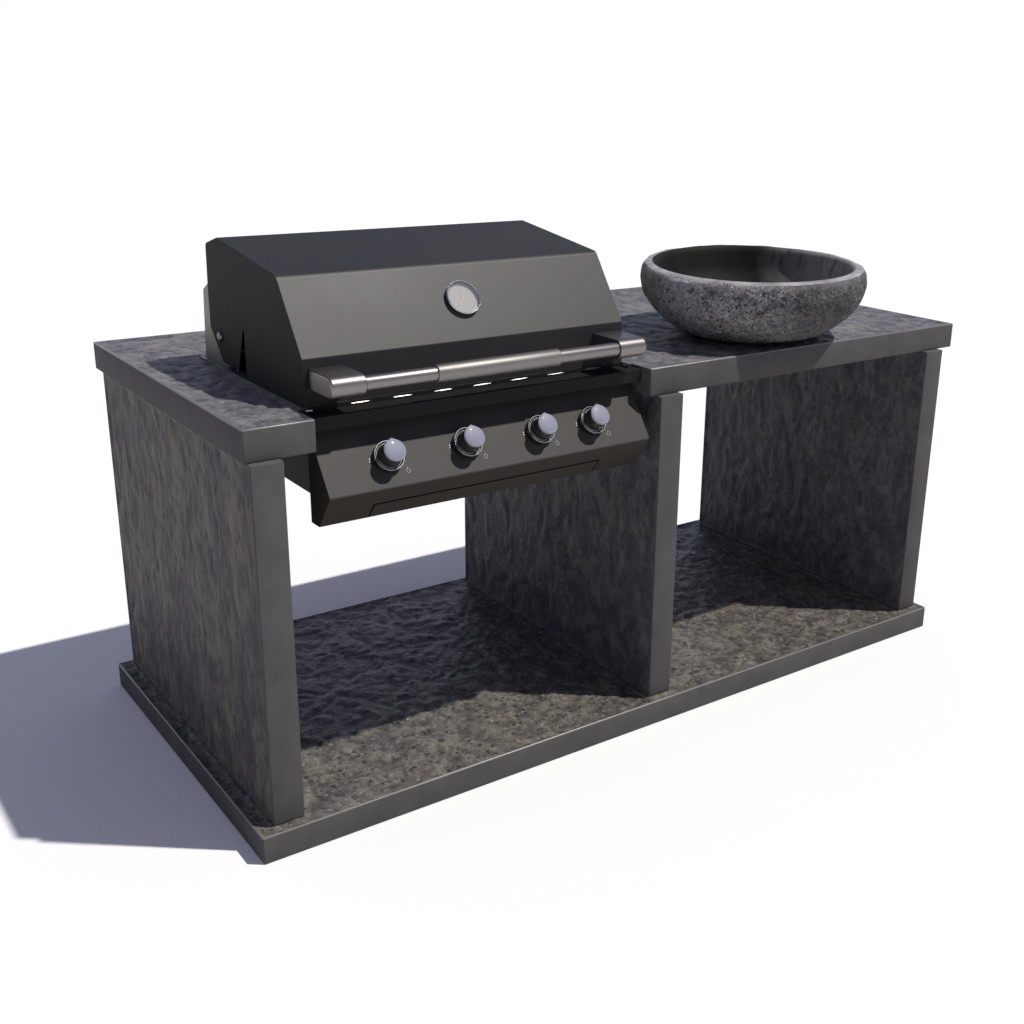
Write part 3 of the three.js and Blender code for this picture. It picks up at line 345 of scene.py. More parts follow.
def boulderRough():
    # painted light at the left, painted shade towards the right, smoother under the rim
    look = boulderLook
    material, shader, place = startFinish("boulderRough", Specular_IOR_Level=0.3)
    across = acrossBasin(place)
    relief = reliefOf(place)
    broad = place.clouds(9, 4, 0.65)
    paintedShade = wavering(across, broad, 0.30).above(look["paintedLightUntil"], look["paintedShadeFrom"])
    shoulder = wavering(place.along(2), broad, 0.02).above(*look["shoulder"])
    calm = 1 - paintedShade * 0.45 - shoulder * 0.50
    curl = place.clouds(look["ridge"], 3, 0.6, 1.1)
    ridge = curl.maths("ABSOLUTE", curl - 0.5, 0).above(0.085, 0.02)
    chip = place.clouds(look["chip"], 3, 0.7, 0.6)
    blotch = place.clouds(34, 3, 0.6)
    patterns = {"blotch": blotch, "broad": broad, "relief": relief, "chip": chip}
    pale = paintedShade.tinted(look["light"], scaled(look["light"], look["paleInPaintedShade"]))
    base = paintedShade.tinted(look["mid"], look["paintedShade"])
    base = (shoulder * 0.45).tinted(base, look["rim"])
    for kind, fade, share, calmed in boulderDarkAndShade:
        hollow = patterns[kind].above(*fade) * share
        base = (hollow * calm if calmed else hollow).tinted(base, look["dark"])
    base = (ridge * blotch.above(0.30, 0.50) * 0.9 * calm).tinted(base, pale)
    base = (chip.above(0.58, 0.66) * 0.7).tinted(base, pale)
    # painted light, brightening the shaded left side
    base = (wavering(across, broad, 0.2).above(*look["paintedLightLeft"]) * 0.50).tinted(base, look["light"])
    # painted shade in the bottoms of the worm lines and pits, which less light reaches, strongest at the left
    base = (relief.above(0.12, 0.02) * (0.62 - paintedShade * 0.30)).tinted(base, look["dark"])
    stain = wavering(across, broad, 0.05).above(*look["stained"])
    (stain * 0.7).tinted(base, look["brown"]).into(shader, "Base Color")
    (0.55 + chip * 0.25).into(shader, "Roughness")
    (ridge * calm * 0.5 + chip * 0.6 + blotch * 0.5).asBump(shader, 3.0 * mm)
    return material


def boulderHoned(name, base, high, rough, stroke, paintedLight=None):
    look = boulderLook
    material, shader, place = startFinish(name, Specular_IOR_Level=0.16)
    cloud = place.clouds(13, 5, 0.62, 0.7)
    fine = place.clouds(330, 3, 0.6)
    scratch = place.stretched(stroke).clouds(1, 4, 0.65)
    tint = cloud.above(0.38, 0.70).tinted(base, high)
    # painted shade and light: the bowl stays dark at the left, where the sun falls, and turns lighter towards
    # the right, where the rim shades it
    if paintedLight:
        ease = (acrossBasin(place) + cloud * 0.06).above(look["bowlLightFrom"], look["bowlLightUntil"])
        tint = ease.tinted(tint, paintedLight)
    tint = (scratch.above(0.52, 0.70) * 0.5).tinted(tint, scaled(base, look["scratchLight"]))
    tint = (scratch.above(0.44, 0.28) * 0.5).tinted(tint, scaled(base, look["scratchDark"]))
    tint.into(shader, "Base Color")
    (rough + cloud * 0.15).into(shader, "Roughness")
    (cloud * 0.3 + fine * 0.3 + scratch * 0.5).asBump(shader, 0.35 * mm, 0.7)
    return material


# Metal, coat and plastic finishes
def powderCoat(name, base, rough, gloss=0.5):
    material, shader, place = startFinish(name, Specular_IOR_Level=gloss)
    peel = place.clouds(900, 2, 0.5)
    cloud = place.clouds(5, 3, 0.6)
    cloud.above(0.3, 0.7).tinted(base, scaled(base, 1.25)).into(shader, "Base Color")
    (rough + cloud * 0.07 + peel * 0.05).into(shader, "Roughness")
    peel.asBump(shader, 0.05 * mm, 0.5)
    return material


def metal(name, base, rough, brush, streak=0.10, stain=None, groove=0.02 * mm):
    material, shader, place = startFinish(name, Metallic=1.0)
    lines = place.stretched(brush).clouds(1, 3, 0.6)
    cloud = place.clouds(22, 4, 0.6)
    tint = lines.above(0.3, 0.7).tinted(scaled(base, 0.92), base)
    if stain:
        tint = (cloud.above(0.42, 0.72) * 0.8).tinted(tint, stain)
    tint.into(shader, "Base Color")
    (rough + lines * streak + cloud * 0.05).into(shader, "Roughness")
    if groove:
        lines.asBump(shader, groove, 0.35)
    return material


def plastic(name, base, rough, metallic=0.0, coat=0.0):
    material, shader, place = startFinish(name, Metallic=metallic, Coat_Weight=coat)
    cloud = place.clouds(60, 3, 0.6)
    fine = place.clouds(1400, 2, 0.5)
    cloud.above(0.3, 0.7).tinted(base, scaled(base, 1.12)).into(shader, "Base Color")
    (rough + cloud * 0.05 + fine * 0.04).into(shader, "Roughness")
    fine.asBump(shader, 0.02 * mm, 0.4)
    return material


def castIron():
    material, shader, place = startFinish("castIron", Metallic=0.3)
    grit = place.clouds(520, 3, 0.7)
    cloud = place.clouds(20, 3, 0.6)
    cloud.above(0.4, 0.7).tinted((0.020, 0.020, 0.021), (0.050, 0.042, 0.036)).into(shader, "Base Color")
    (0.52 + grit * 0.2).into(shader, "Roughness")
    grit.asBump(shader, 0.25 * mm, 0.8)
    return material


def clearGlass():
    # thin and see-through, so that the sun reaches the dial behind it
    material, shader, place = startFinish("clearGlass", IOR=1.45, Alpha=0.10)
    smear = place.clouds(35, 3, 0.6)
    (smear * 0.05).into(shader, "Roughness")
    smear.tinted((0.60, 0.61, 0.64), (0.70, 0.70, 0.72)).into(shader, "Base Color")
    return material


finishes = {
    "riven": rivenStone("rivenTop", topStone),
    "rivenLeg": rivenStone("rivenLeg", legStone, (3.1, 1.7, 0.4)),
    "rivenInnerLeg": rivenStone("rivenInnerLeg", innerLegStone, (5.2, 4.4, 2.3)),
    "rivenPlinth": rivenStone("rivenPlinth", plinthStone, (7.3, 2.9, 1.1)),
    "honed": honedStone("honedStone"),
    # the lighter arris finish for upward edges: worn edges, and painted highlight where the sun catches them
    "arris": honedStone("wornArrisHighlight", 1.6, 0.30, 0.8),
    "boulder": boulderRough(),
    "bowl": boulderHoned(
        "polishedBowl", boulderLook["olive"], boulderLook["oliveHigh"], 0.58, (30, 30, 9),
        boulderLook["bowlPaintedLight"],
    ),
    "rimBand": boulderHoned("rubbedRim", boulderLook["rim"], boulderLook["rimHigh"], 0.45, (55, 55, 300)),
    "coat": powderCoat("darkCoat", (0.0220, 0.0192, 0.0158), 0.44),
    # copies of the coats for faces in shade, with painted shade and light in their colour
    "coatShade": powderCoat("darkCoatMattShade", (0.0125, 0.0120, 0.0115), 0.62, 0.18),
    "coatFront": powderCoat("darkCoatFront", (0.0190, 0.0182, 0.0200), 0.60, 0.24),
    "panelCoat": powderCoat("panelCoat", (0.0265, 0.0228, 0.0185), 0.50),
    "panelShade": powderCoat("panelCoatMattShade", (0.034, 0.029, 0.0235), 0.62, 0.20),
    "steel": metal("brushedSteel", (0.33, 0.315, 0.30), 0.30, (30, 900, 900)),
    "guardSteel": metal("guardSteel", (0.20, 0.185, 0.17), 0.40, (20, 700, 700)),
    "burntSteel": metal("burntSteel", (0.30, 0.27, 0.24), 0.42, (900, 40, 900), 0.12, (0.16, 0.10, 0.06)),
    "polished": metal("polishedSteel", (0.245, 0.222, 0.220), 0.36, (25, 800, 800), 0.05, None, 0),
    "satin": metal("satinSteel", (0.245, 0.228, 0.215), 0.45, (25, 800, 800), 0.05, None, 0),
    "rivetSteel": metal("rivetSteel", (0.17, 0.165, 0.17), 0.32, (60, 60, 60), 0.05, None, 0),
    "trimRing": metal("trimRing", (0.62, 0.62, 0.65), 0.30, (60, 60, 60), 0.05, None, 0),
    "brightLip": metal("brightLip", (0.62, 0.62, 0.58), 0.30, (60, 60, 60), 0.05, None, 0),
    "chrome": metal("brightChrome", (0.62, 0.62, 0.65), 0.16, (400, 400, 400), 0.03, None, 0),
    "brass": metal("turnedBrass", (0.50, 0.35, 0.15), 0.24, (500, 500, 500)),
    "iron": castIron(),
    "rubber": plastic("rubberSeal", (0.016, 0.016, 0.016), 0.75),
    # near-black colour for the strip over the tray's gap: painted shade
    "gap": powderCoat("gapBlack", (0.0025, 0.0025, 0.0025), 0.90, 0.0),
    "gloss": plastic("glossBlack", (0.014, 0.012, 0.012), 0.16, 0.0, 0.5),
    "grip": plastic("gripBlack", (0.026, 0.021, 0.019), 0.22, 0.0, 0.3),
    # silver paint, with a blue tint that is painted sky reflection
    "silver": plastic("silverPaint", (0.245, 0.252, 0.325), 0.50, 0.0, 0.5),
    "capTrim": plastic("capTrim", (0.58, 0.585, 0.64), 0.35, 0.0, 0.5),
    "card": plastic("dialCard", (0.41, 0.405, 0.365), 0.55),
    "cardBand": plastic("dialBand", (0.17, 0.17, 0.18), 0.42, 0.3),
    "ink": plastic("dialInk", (0.26, 0.25, 0.23), 0.5),
    "pointer": plastic("pointerPaint", (0.72, 0.52, 0.42), 0.45),
    "whiteInk": plastic("whiteInk", (0.80, 0.80, 0.78), 0.45),
    "greyInk": plastic("greyInk", (0.33, 0.32, 0.30), 0.5),
    "glass": clearGlass(),
}
print("finishes made:", len(finishes))


# Making and placing pieces
nearly = 0.01 * mm  # what counts as the same place


def addPiece(name, bm, looks, body, stands=(), smooth=32, weighted=False):
    mesh = bpy.data.meshes.new(name)
    bm.to_mesh(mesh)
    bm.free()
    for look in looks:
        mesh.materials.append(finishes[look])
    mesh.shade_smooth()
    mesh.set_sharp_from_angle(angle=math.radians(smooth))
    piece = bpy.data.objects.new(name, mesh)
    bpy.context.scene.collection.objects.link(piece)
    if weighted:
        modifier = piece.modifiers.new("even shading", "WEIGHTED_NORMAL")
        modifier.keep_sharp = True
    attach(piece, body)
    if stands:
        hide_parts(*stands)


def copyOf(node):
    bm = bmesh.new()
    bm.from_mesh(frame["nodes"][node].data)
    bmesh.ops.remove_doubles(bm, verts=bm.verts, dist=nearly)
    bmesh.ops.dissolve_limit(bm, angle_limit=math.radians(0.6), verts=bm.verts, edges=bm.edges)
    return bm


def bodyOf(node):
    return frame["nodes"][node]["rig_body"]


def angleOf(edge):
    return math.degrees(edge.calc_face_angle(0)) if len(edge.link_faces) == 2 else 0


def roundEdges(bm, offset, segments, least, most=181, choose=None):
    # rounds the edges whose faces meet at an angle between least and most
    edges = [edge for edge in bm.edges if least < angleOf(edge) < most and (choose is None or choose(edge))]
    bmesh.ops.bevel(
        bm, geom=edges, offset=offset, segments=segments, profile=0.5, affect="EDGES", material=-1,
        clamp_overlap=True,
    )


def alongAxis(edge, axis, least=0.05):
    run = edge.verts[1].co - edge.verts[0].co
    return run.length > least and abs(run[axis]) > 0.999 * run.length


def turned(profile, steps=64):
    bm = bmesh.new()
    verts = [bm.verts.new((radius, 0, height)) for radius, height in profile]
    edges = [bm.edges.new(pair) for pair in zip(verts, verts[1:])]
    if profile[0][0] > 0 and profile[-1][0] > 0:
        edges.append(bm.edges.new((verts[-1], verts[0])))
    bmesh.ops.spin(
        bm, geom=verts + edges, cent=(0, 0, 0), axis=(0, 0, 1), angle=2 * math.pi, steps=steps,
        use_merge=True,
    )
    bmesh.ops.remove_doubles(bm, verts=bm.verts, dist=0.005 * mm)
    bmesh.ops.recalc_face_normals(bm, faces=bm.faces)
    return bm


def block(low, high):
    bm = bmesh.new()
    bmesh.ops.create_cube(bm, size=1)
    low, high = Vector(low), Vector(high)
    bmesh.ops.scale(bm, vec=high - low, verts=bm.verts)
    bmesh.ops.translate(bm, vec=(low + high) / 2, verts=bm.verts)
    return bm


def merged(parts):
    whole = bmesh.new()
    for part in parts:
        mesh = bpy.data.meshes.new("part")
        part.to_mesh(mesh)
        part.free()
        whole.from_mesh(mesh)
        bpy.data.meshes.remove(mesh)
    return whole


def placeOn(joint):
    # z points out of the face along the joint's axis, x stays along the island
    axis = Vector(joints[joint]["axis"])
    side = Vector((1, 0, 0))
    turn = Matrix((side, axis.cross(side), axis)).transposed().to_4x4()
    return Matrix.Translation(joints[joint]["pos_m"]) @ turn


# Stone slabs: riven faces, honed edges and worn arrises
slabLook = {
    "arris": 3.0 * mm, "arrisSteps": 3, "arrisLeast": 60, "fade": 12 * mm, "seatShare": 0.15, "calm": 0.6,
    "flat": 0.999, "upward": 0.2,
}
topSlab = {"step": 5.2 * mm, "depth": 5.0 * mm, "size": (40 * mm, 46 * mm, 40 * mm)}
legSlab = {"step": 6.0 * mm, "depth": 4.6 * mm, "size": (36 * mm, 36 * mm, 62 * mm)}
innerLegSlab = {"step": 6.0 * mm, "depth": 6.5 * mm, "size": (50 * mm, 46 * mm, 86 * mm)}
plinthSlab = {"step": 5.2 * mm, "depth": 6.5 * mm, "size": (44 * mm, 44 * mm, 44 * mm)}
swellLook = {
    "level": 0.42, "share": 0.62, "warp": 0.6, "small": 2.2, "smallShift": (5.1, 2.2, 7.7),
    "smallShare": 0.30, "valley": 1.3, "valleyShift": (9.3, 1.4, 4.6), "valleyLevel": 0.18,
    "valleyShare": 0.75,
}


def reliefAt(spot, size):
    # smooth swells with sharp valleys between them, from 0 in the valleys to 1 on the crests
    look = swellLook
    p = Vector(part / run for part, run in zip(spot, size))
    q = p + noise.noise_vector(p * look["warp"]) * look["warp"]
    swell = noise.noise(q)
    small = noise.noise(q * look["small"] + Vector(look["smallShift"]))
    valley = abs(noise.noise(q * look["valley"] + Vector(look["valleyShift"])))
    height = look["level"] + look["share"] * swell + look["smallShare"] * small
    return max(0, min(1, height + look["valleyShare"] * (valley - look["valleyLevel"])))


def onPlane(verts, axis, places):
    # whether all the vertices lie on one of the planes across an axis
    return any(all(abs(vert.co[axis] - place) < nearly for vert in verts) for place in places)


def bandCuts(bm, axis, lines, step, flatAxis, faces):
    # cuts the edges that run along an axis on the riven faces into even lengths, band by band
    for low, high in zip(lines, lines[1:]):
        cuts = max(1, round((high - low) / step)) - 1
        edges = [
            edge for edge in bm.edges
            if alongAxis(edge, axis, 2.5 * step) and onPlane(edge.verts, flatAxis, faces)
            and low < (edge.verts[0].co[axis] + edge.verts[1].co[axis]) / 2 < high
        ]
        if edges and cuts:
            bmesh.ops.subdivide_edges(bm, edges=edges, cuts=cuts, use_grid_fill=False)


def finishSlab(name, bm, flatAxis, lines, faces, riven, shape, seats=()):
    # lines holds the band borders on the two axes across the riven faces, faces their places on the third
    look = slabLook
    roundEdges(bm, look["arris"], look["arrisSteps"], look["arrisLeast"])
    for axis, borders in lines.items():
        bandCuts(bm, axis, borders, shape["step"], flatAxis, faces)
    bm.normal_update()
    for face in bm.faces:
        slanted = max(abs(part) for part in face.normal) < look["flat"]
        # upward arrises take the lighter arris finish, partly painted highlight
        upperEdge = slanted and flatAxis == 2 and face.normal.z > look["upward"]
        onFace = abs(face.normal[flatAxis]) > look["flat"]
        face.material_index = 2 if upperEdge else 0 if onFace else 1
    relief = bm.verts.layers.float.new("relief")
    moves = []
    for vert in bm.verts:
        vert[relief] = look["calm"]
        atEdge = any(face.material_index > 0 for face in vert.link_faces)
        if atEdge or not onPlane([vert], flatAxis, faces):
            continue
        rim = min(
            abs(vert.co[axis] - border)
            for axis, borders in lines.items() for border in (borders[0], borders[-1])
        )
        share = min(1, rim / look["fade"])
        for low, high in seats:
            out = max(low[0] - vert.co.x, vert.co.x - high[0], low[1] - vert.co.y, vert.co.y - high[1])
            share *= min(1, max(look["seatShare"], out / look["fade"]))
        height = reliefAt(vert.co, shape["size"])
        vert[relief] = look["calm"] + (height - look["calm"]) * share
        moves.append((vert, vert.normal * -(shape["depth"] * (1 - height) * share)))
    for vert, move in moves:
        vert.co += move
    bm.normal_update()
    addPiece(name + "_stone", bm, [riven, "honed", "arris"], bodyOf(name), [name], 50)


legNodes = ("left_leg", "middle_leg", "right_leg")


def addPlinth():
    low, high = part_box("plinth")
    lines = {0: (low.x, high.x), 1: (low.y, high.y)}
    seats = [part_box(node) for node in legNodes]
    finishSlab("plinth", block(low, high), 2, lines, [high.z], "rivenPlinth", plinthSlab, seats)


def addLeg(name):
    low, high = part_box(name)
    lines = {1: (low.y, high.y), 2: (low.z, high.z)}
    riven, slab = ("rivenLeg", legSlab) if name == "left_leg" else ("rivenInnerLeg", innerLegSlab)
    finishSlab(name, block(low, high), 0, lines, [low.x, high.x], riven, slab)


# the grill's notch in the front edge, the well behind it, and how much of the basin counts as its seat
wellSizes = {
    "clear": 2.5 * mm, "notchHalf": 413.5 * mm, "notchDepth": 90 * mm, "rearLip": 5 * mm, "basinInset": 0.3,
}


def addCountertop():
    low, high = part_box("countertop")
    lidLow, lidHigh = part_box("lid")
    middle = (lidLow.x + lidHigh.x) / 2
    wellHalf = (lidHigh.x - lidLow.x) / 2 + wellSizes["clear"]
    across = (
        low.x, middle - wellSizes["notchHalf"], middle - wellHalf, middle + wellHalf,
        middle + wellSizes["notchHalf"], high.x,
    )
    notchBack = low.y + wellSizes["notchDepth"]
    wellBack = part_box("firebox")[1].y - wellSizes["rearLip"]
    deep = (low.y, notchBack, wellBack, high.y)
    bm = bmesh.new()
    bmesh.ops.create_grid(bm, x_segments=1, y_segments=1, size=0.5)
    bmesh.ops.scale(bm, vec=(high.x - low.x, high.y - low.y, 1), verts=bm.verts)
    bmesh.ops.translate(bm, vec=((low.x + high.x) / 2, (low.y + high.y) / 2, low.z), verts=bm.verts)
    for axis, borders in ((0, across), (1, deep)):
        for border in borders[1:-1]:
            point = [0, 0, 0]
            point[axis] = border
            normal = [0, 0, 0]
            normal[axis] = 1
            everything = bm.verts[:] + bm.edges[:] + bm.faces[:]
            bmesh.ops.bisect_plane(bm, geom=everything, plane_co=point, plane_no=normal)
    gone = []
    for face in bm.faces:
        spot = face.calc_center_median()
        inNotch = across[1] < spot.x < across[4] and spot.y < notchBack
        inWell = across[2] < spot.x < across[3] and spot.y < wellBack
        if inNotch or inWell:
            gone.append(face)
    bmesh.ops.delete(bm, geom=gone, context="FACES")
    grown = bmesh.ops.extrude_face_region(bm, geom=bm.faces[:])
    lifted = [item for item in grown["geom"] if isinstance(item, bmesh.types.BMVert)]
    bmesh.ops.translate(bm, vec=(0, 0, high.z - low.z), verts=lifted)
    bmesh.ops.recalc_face_normals(bm, faces=bm.faces)
    basinLow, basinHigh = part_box("stone_basin")
    inset = (basinHigh - basinLow) * wellSizes["basinInset"]
    seats = [(basinLow + inset, basinHigh - inset)]
    finishSlab("countertop", bm, 2, {0: across, 1: deep}, [high.z], "riven", topSlab, seats)


addPlinth()
for legNode in legNodes:
    addLeg(legNode)
addCountertop()
print("stone slabs made")


# Stone basin: a turned profile drawn out to an oval, lumpy, with its rim leaning back
basinLook = {
    "height": 182 * mm, "across": 293 * mm, "along": 316 * mm, "turn": 42, "tilt": 0.03, "wall": 20 * mm,
    "floor": 34 * mm, "lump": 2.5 * mm, "lumps": 3, "hole": 20.3 * mm, "sink": 36.3 * mm, "sinkDeep": 3 * mm,
    "steps": 600, "outerPoints": 112, "innerPoints": 30, "mouth": 0.95, "crownFlat": 5 * mm,
    "outside": (
        (0.49, 0), (0.58, 0.03), (0.69, 0.10), (0.82, 0.25), (0.955, 0.50), (1.0, 0.75), (0.992, 0.90),
        (0.980, 0.955), (0.965, 0.985),
    ),
    "crown": ((0.950, 0.8 * mm), (0.935, 0)),
    "inside": (
        (0, 0.99), (-0.015, 0.96), (-0.04, 0.80), (-0.09, 0.55), (-0.22, 0.28), (-0.44, 0.10),
        (-0.70, 0.015),
    ),
    "bowlBelow": 0.9, "bandAbove": 0.97, "bandSlope": 0.80, "bandRagged": 0.22, "bandSize": 0.03,
}
# its rough outside; a pit is its angle, share of the height, radius and depth
roughLook = {
    "worm": 9 * mm, "wormWarp": 0.7, "wormBend": 0.9, "wormTall": 0.7, "wormLevel": 1.15, "wormSharp": 3.4,
    "wormDeep": 2.4 * mm, "swell": 48 * mm, "swellDeep": 5.0 * mm, "swellShare": 0.6, "swellFoot": 0.1,
    "top": 0.94, "topRagged": 0.07, "topSize": 0.045, "topFade": 0.09, "foot": 0.012, "footFade": 0.04,
    "chip": 0.022, "chipShift": (3, 8, 1), "chipLevel": 0.1, "chipAt": 0.96, "chipTall": 0.05,
    "chipDeep": 6 * mm, "level": 0.45, "smoothShare": 0.12, "hollowFrom": 0.4,
    "pits": ((-81.6, 0.50, 19 * mm, 10 * mm), (-118, 0.79, 10 * mm, 5 * mm), (-60, 0.35, 12 * mm, 6 * mm)),
}
curveHalts = 24


def curveAt(t, a, b, c, d):
    # between b and c on the smooth curve that passes through a, b, c and d
    bend = (2 * a - 5 * b + 4 * c - d) * t ** 2
    twist = (3 * b - a - 3 * c + d) * t ** 3
    return 0.5 * (2 * b + (c - a) * t + bend + twist)


def smoothed(points, count):
    # an even walk along a smooth curve through the points
    bends = []
    for i in range(len(points) - 1):
        four = [points[max(0, min(len(points) - 1, i + k))] for k in (-1, 0, 1, 2)]
        for step in range(curveHalts):
            bends.append(tuple(curveAt(step / curveHalts, *along) for along in zip(*four)))
    bends.append(tuple(points[-1]))
    runs = [0]
    for first, second in zip(bends, bends[1:]):
        runs.append(runs[-1] + math.dist(first, second))
    walk = []
    k = 0
    for i in range(count + 1):
        goal = runs[-1] * i / count
        while k < len(runs) - 2 and runs[k + 1] < goal:
            k += 1
        t = (goal - runs[k]) / max(1e-9, runs[k + 1] - runs[k])
        walk.append(tuple(a + (b - a) * t for a, b in zip(bends[k], bends[k + 1])))
    return walk


def outwardOf(normal, spot):
    # 1 where a normal points straight away from the basin's axis
    return normal.xy.dot(spot.xy) / max(1e-6, spot.xy.length)


def roughen(vert, relief):
    # sets the relief of one point of the basin, and returns how far the point moves in
    look = roughLook
    spot = vert.co.copy()
    rise = spot.z / basinLook["height"]
    q = spot / look["worm"]
    q += noise.noise_vector(q * look["wormWarp"]) * look["wormBend"]
    q.z *= look["wormTall"]
    worm = max(0, min(1, look["wormLevel"] - look["wormSharp"] * abs(noise.noise(q))))
    vert[relief] = worm
    if outwardOf(vert.normal, spot) < -0.05 or spot.xy.length < 0.1 or rise < look["foot"]:
        return Vector((0, 0, 0))
    edge = look["top"] + look["topRagged"] * noise.noise(spot / look["topSize"])
    rough = max(0, min(1, (edge - rise) / look["topFade"])) * min(1, rise / look["footFade"])
    broad = max(0, min(1, 0.5 + noise.noise(spot / look["swell"])))
    sink = rough * look["wormDeep"] * (1 - worm)
    sink += look["swellDeep"] * broad * min(1, rise / look["swellFoot"]) * look["swellShare"]
    chip = max(0, noise.noise(spot / look["chip"] + Vector(look["chipShift"])) - look["chipLevel"])
    sink += look["chipDeep"] * (chip * max(0, 1 - abs(rise - look["chipAt"]) / look["chipTall"]))
    angle = math.degrees(math.atan2(spot.y, spot.x)) - basinLook["turn"]
    hollow = 1
    for where, share, radius, depth in look["pits"]:
        turn = math.radians((angle - where + 180) % 360 - 180)
        away = math.hypot(turn * spot.xy.length, (rise - share) * basinLook["height"])
        sink += depth * max(0, 1 - (away / radius) ** 2)
        if away < radius:
            hollow = max(0.0, away / radius - look["hollowFrom"])
    share = max(look["smoothShare"], rough)
    vert[relief] = hollow * (look["level"] + (vert[relief] - look["level"]) * share)
    return vert.normal * -sink


def paintBasinFace(face):
    # 0 for the rough outside, 1 for the bowl, 2 for the rubbed band on the rim
    look = basinLook
    spot = face.calc_center_median()
    rise = spot.z / look["height"]
    band = look["bandSlope"] + look["bandRagged"] * noise.noise(spot / look["bandSize"])
    if outwardOf(face.normal, spot) < -0.1 or (face.normal.z > 0.3 and rise < look["bowlBelow"]):
        face.material_index = 1
    elif rise > look["bandAbove"] and face.normal.z > band:
        face.material_index = 2
    else:
        face.material_index = 0


def addBasin():
    look = basinLook
    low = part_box("stone_basin")[0]
    wasteLow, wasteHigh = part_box("basin_waste")
    centre = Vector(((wasteLow.x + wasteHigh.x) / 2, (wasteLow.y + wasteHigh.y) / 2, low.z))
    across, height = look["across"], look["height"]
    mouth = across * look["mouth"] - look["wall"]
    outer = smoothed([(across * r, height * h) for r, h in look["outside"]], look["outerPoints"])
    deep = height - look["floor"]
    hollow = [(mouth * (1 + r), look["floor"] + deep * h) for r, h in look["inside"]]
    inner = smoothed(hollow + [(look["sink"], look["floor"])], look["innerPoints"])
    crown = [(across * r, height - drop) for r, drop in look["crown"]] + [(mouth + look["crownFlat"], height)]
    sinkFloor = look["floor"] - look["sinkDeep"]
    sink = [(look["sink"], sinkFloor), (look["hole"], sinkFloor)]
    bm = turned([(look["hole"], 0)] + outer + crown + inner + sink, look["steps"])
    bm.normal_update()
    relief = bm.verts.layers.float.new("relief")
    moves = [roughen(vert, relief) for vert in bm.verts]
    for face in bm.faces:
        paintBasinFace(face)
    for vert, move in zip(bm.verts, moves):
        vert.co += move
    for vert in bm.verts:
        x, y, z = vert.co
        wave = math.cos(look["lumps"] * math.atan2(y, x))
        swell = 1 + look["lump"] * wave / across
        drawn = y * swell * look["along"] / across
        vert.co = Vector((x * swell, drawn, z * (1 + look["tilt"] * drawn / height)))
    bm.transform(Matrix.Translation(centre) @ Matrix.Rotation(-math.radians(look["turn"]), 4, "Z"))
    bm.normal_update()
    looks = ["boulder", "bowl", "rimBand"]
    addPiece("stone_basin_rough", bm, looks, "island", ["stone_basin"], 75)


addBasin()
print("basin made")


# Every sheet and casting that keeps its own form: edges eased, folds rounded
def dress(node, look, ease=0.5 * mm, fold=0, least=50, shade=None):
    bm = copyOf(node)
    if fold:
        roundEdges(bm, fold, 4, 12, 80, lambda edge: alongAxis(edge, 0, 0.4))
    if ease:
        roundEdges(bm, ease, 2, least)
    looks = [look]
    if shade:
        looks.append(shade)
        dullFaces(bm)
    addPiece(node + "_dressed", bm, looks, bodyOf(node), [node], 34, True)


def dullFaces(bm):
    # ends and undersides take a second copy of the coat made for faces in shade: darker on the lid, painted
    # shade, and lighter on the panel and tray, painted light
    bm.normal_update()
    for face in bm.faces:
        face.material_index = 1 if abs(face.normal.x) > 0.8 or face.normal.z < -0.25 else 0


# a fold is its radius, the segments across it, and the angles between which its edges bend
lidLook = {"folds": ((8 * mm, 4, 40, 80), (9 * mm, 5, 12, 40)), "edge": 0.9 * mm, "upright": -0.97}


def addLid():
    bm = copyOf("lid")
    for radius, segments, least, most in lidLook["folds"]:
        roundEdges(bm, radius, segments, least, most, lambda edge: alongAxis(edge, 0, 0.6))
    roundEdges(bm, lidLook["edge"], 2, 60)
    dullFaces(bm)
    # upright front faces take a darker, bluer copy of the coat: painted shade with a painted blue reflection
    for face in bm.faces:
        if face.normal.y < lidLook["upright"]:
            face.material_index = 2
    addPiece("lid_shell", bm, ["coat", "coatShade", "coatFront"], "lid", ["lid"], 30, True)


addLid()
dress("rear_guard", "guardSteel", 0.5 * mm, 2.5 * mm)
dress("control_panel", "panelCoat", 0.5 * mm, 2.5 * mm, shade="panelShade")
# the ledge takes the coat's shaded copy all over: painted shade
dress("front_ledge", "coatShade", 0.4 * mm, 0)
dress("drip_tray", "panelCoat", 0.4 * mm, shade="panelShade")
dress("firebox", "steel", 0.3 * mm)
print("lid and large sheets dressed")


# Painted shade: a dark strip where the tray's front meets the panel above it, standing for the shaded gap
# between them
shadeLineLook = {
    "wide": 3.2 * mm, "sideWide": 0.7, "proud": 0.25 * mm, "under": 0.5 * mm, "slope": 52.4, "sheet": 2 * mm,
    "long": 44 * mm,
}


def addTrayShadeLine():
    look = shadeLineLook
    low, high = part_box("drip_tray")
    across, line = high.x - low.x, look["wide"] * look["sideWide"]
    strips = [block((0, -look["wide"], -look["under"]), (across, 0, look["proud"]))]
    for x in (0, across - line):
        strips.append(block((x, -look["long"], -look["under"]), (x + line, -look["wide"], look["proud"])))
    seam = merged(strips)
    turn = Matrix.Rotation(math.radians(180 - look["slope"]), 4, "X")
    top = high.z - look["sheet"] * math.cos(math.radians(look["slope"]))
    seam.transform(Matrix.Translation((low.x, low.y, top)) @ turn)
    addPiece("tray_shade_line", seam, ["gap"], bodyOf("drip_tray"))


addTrayShadeLine()
print("tray's shadow line made")


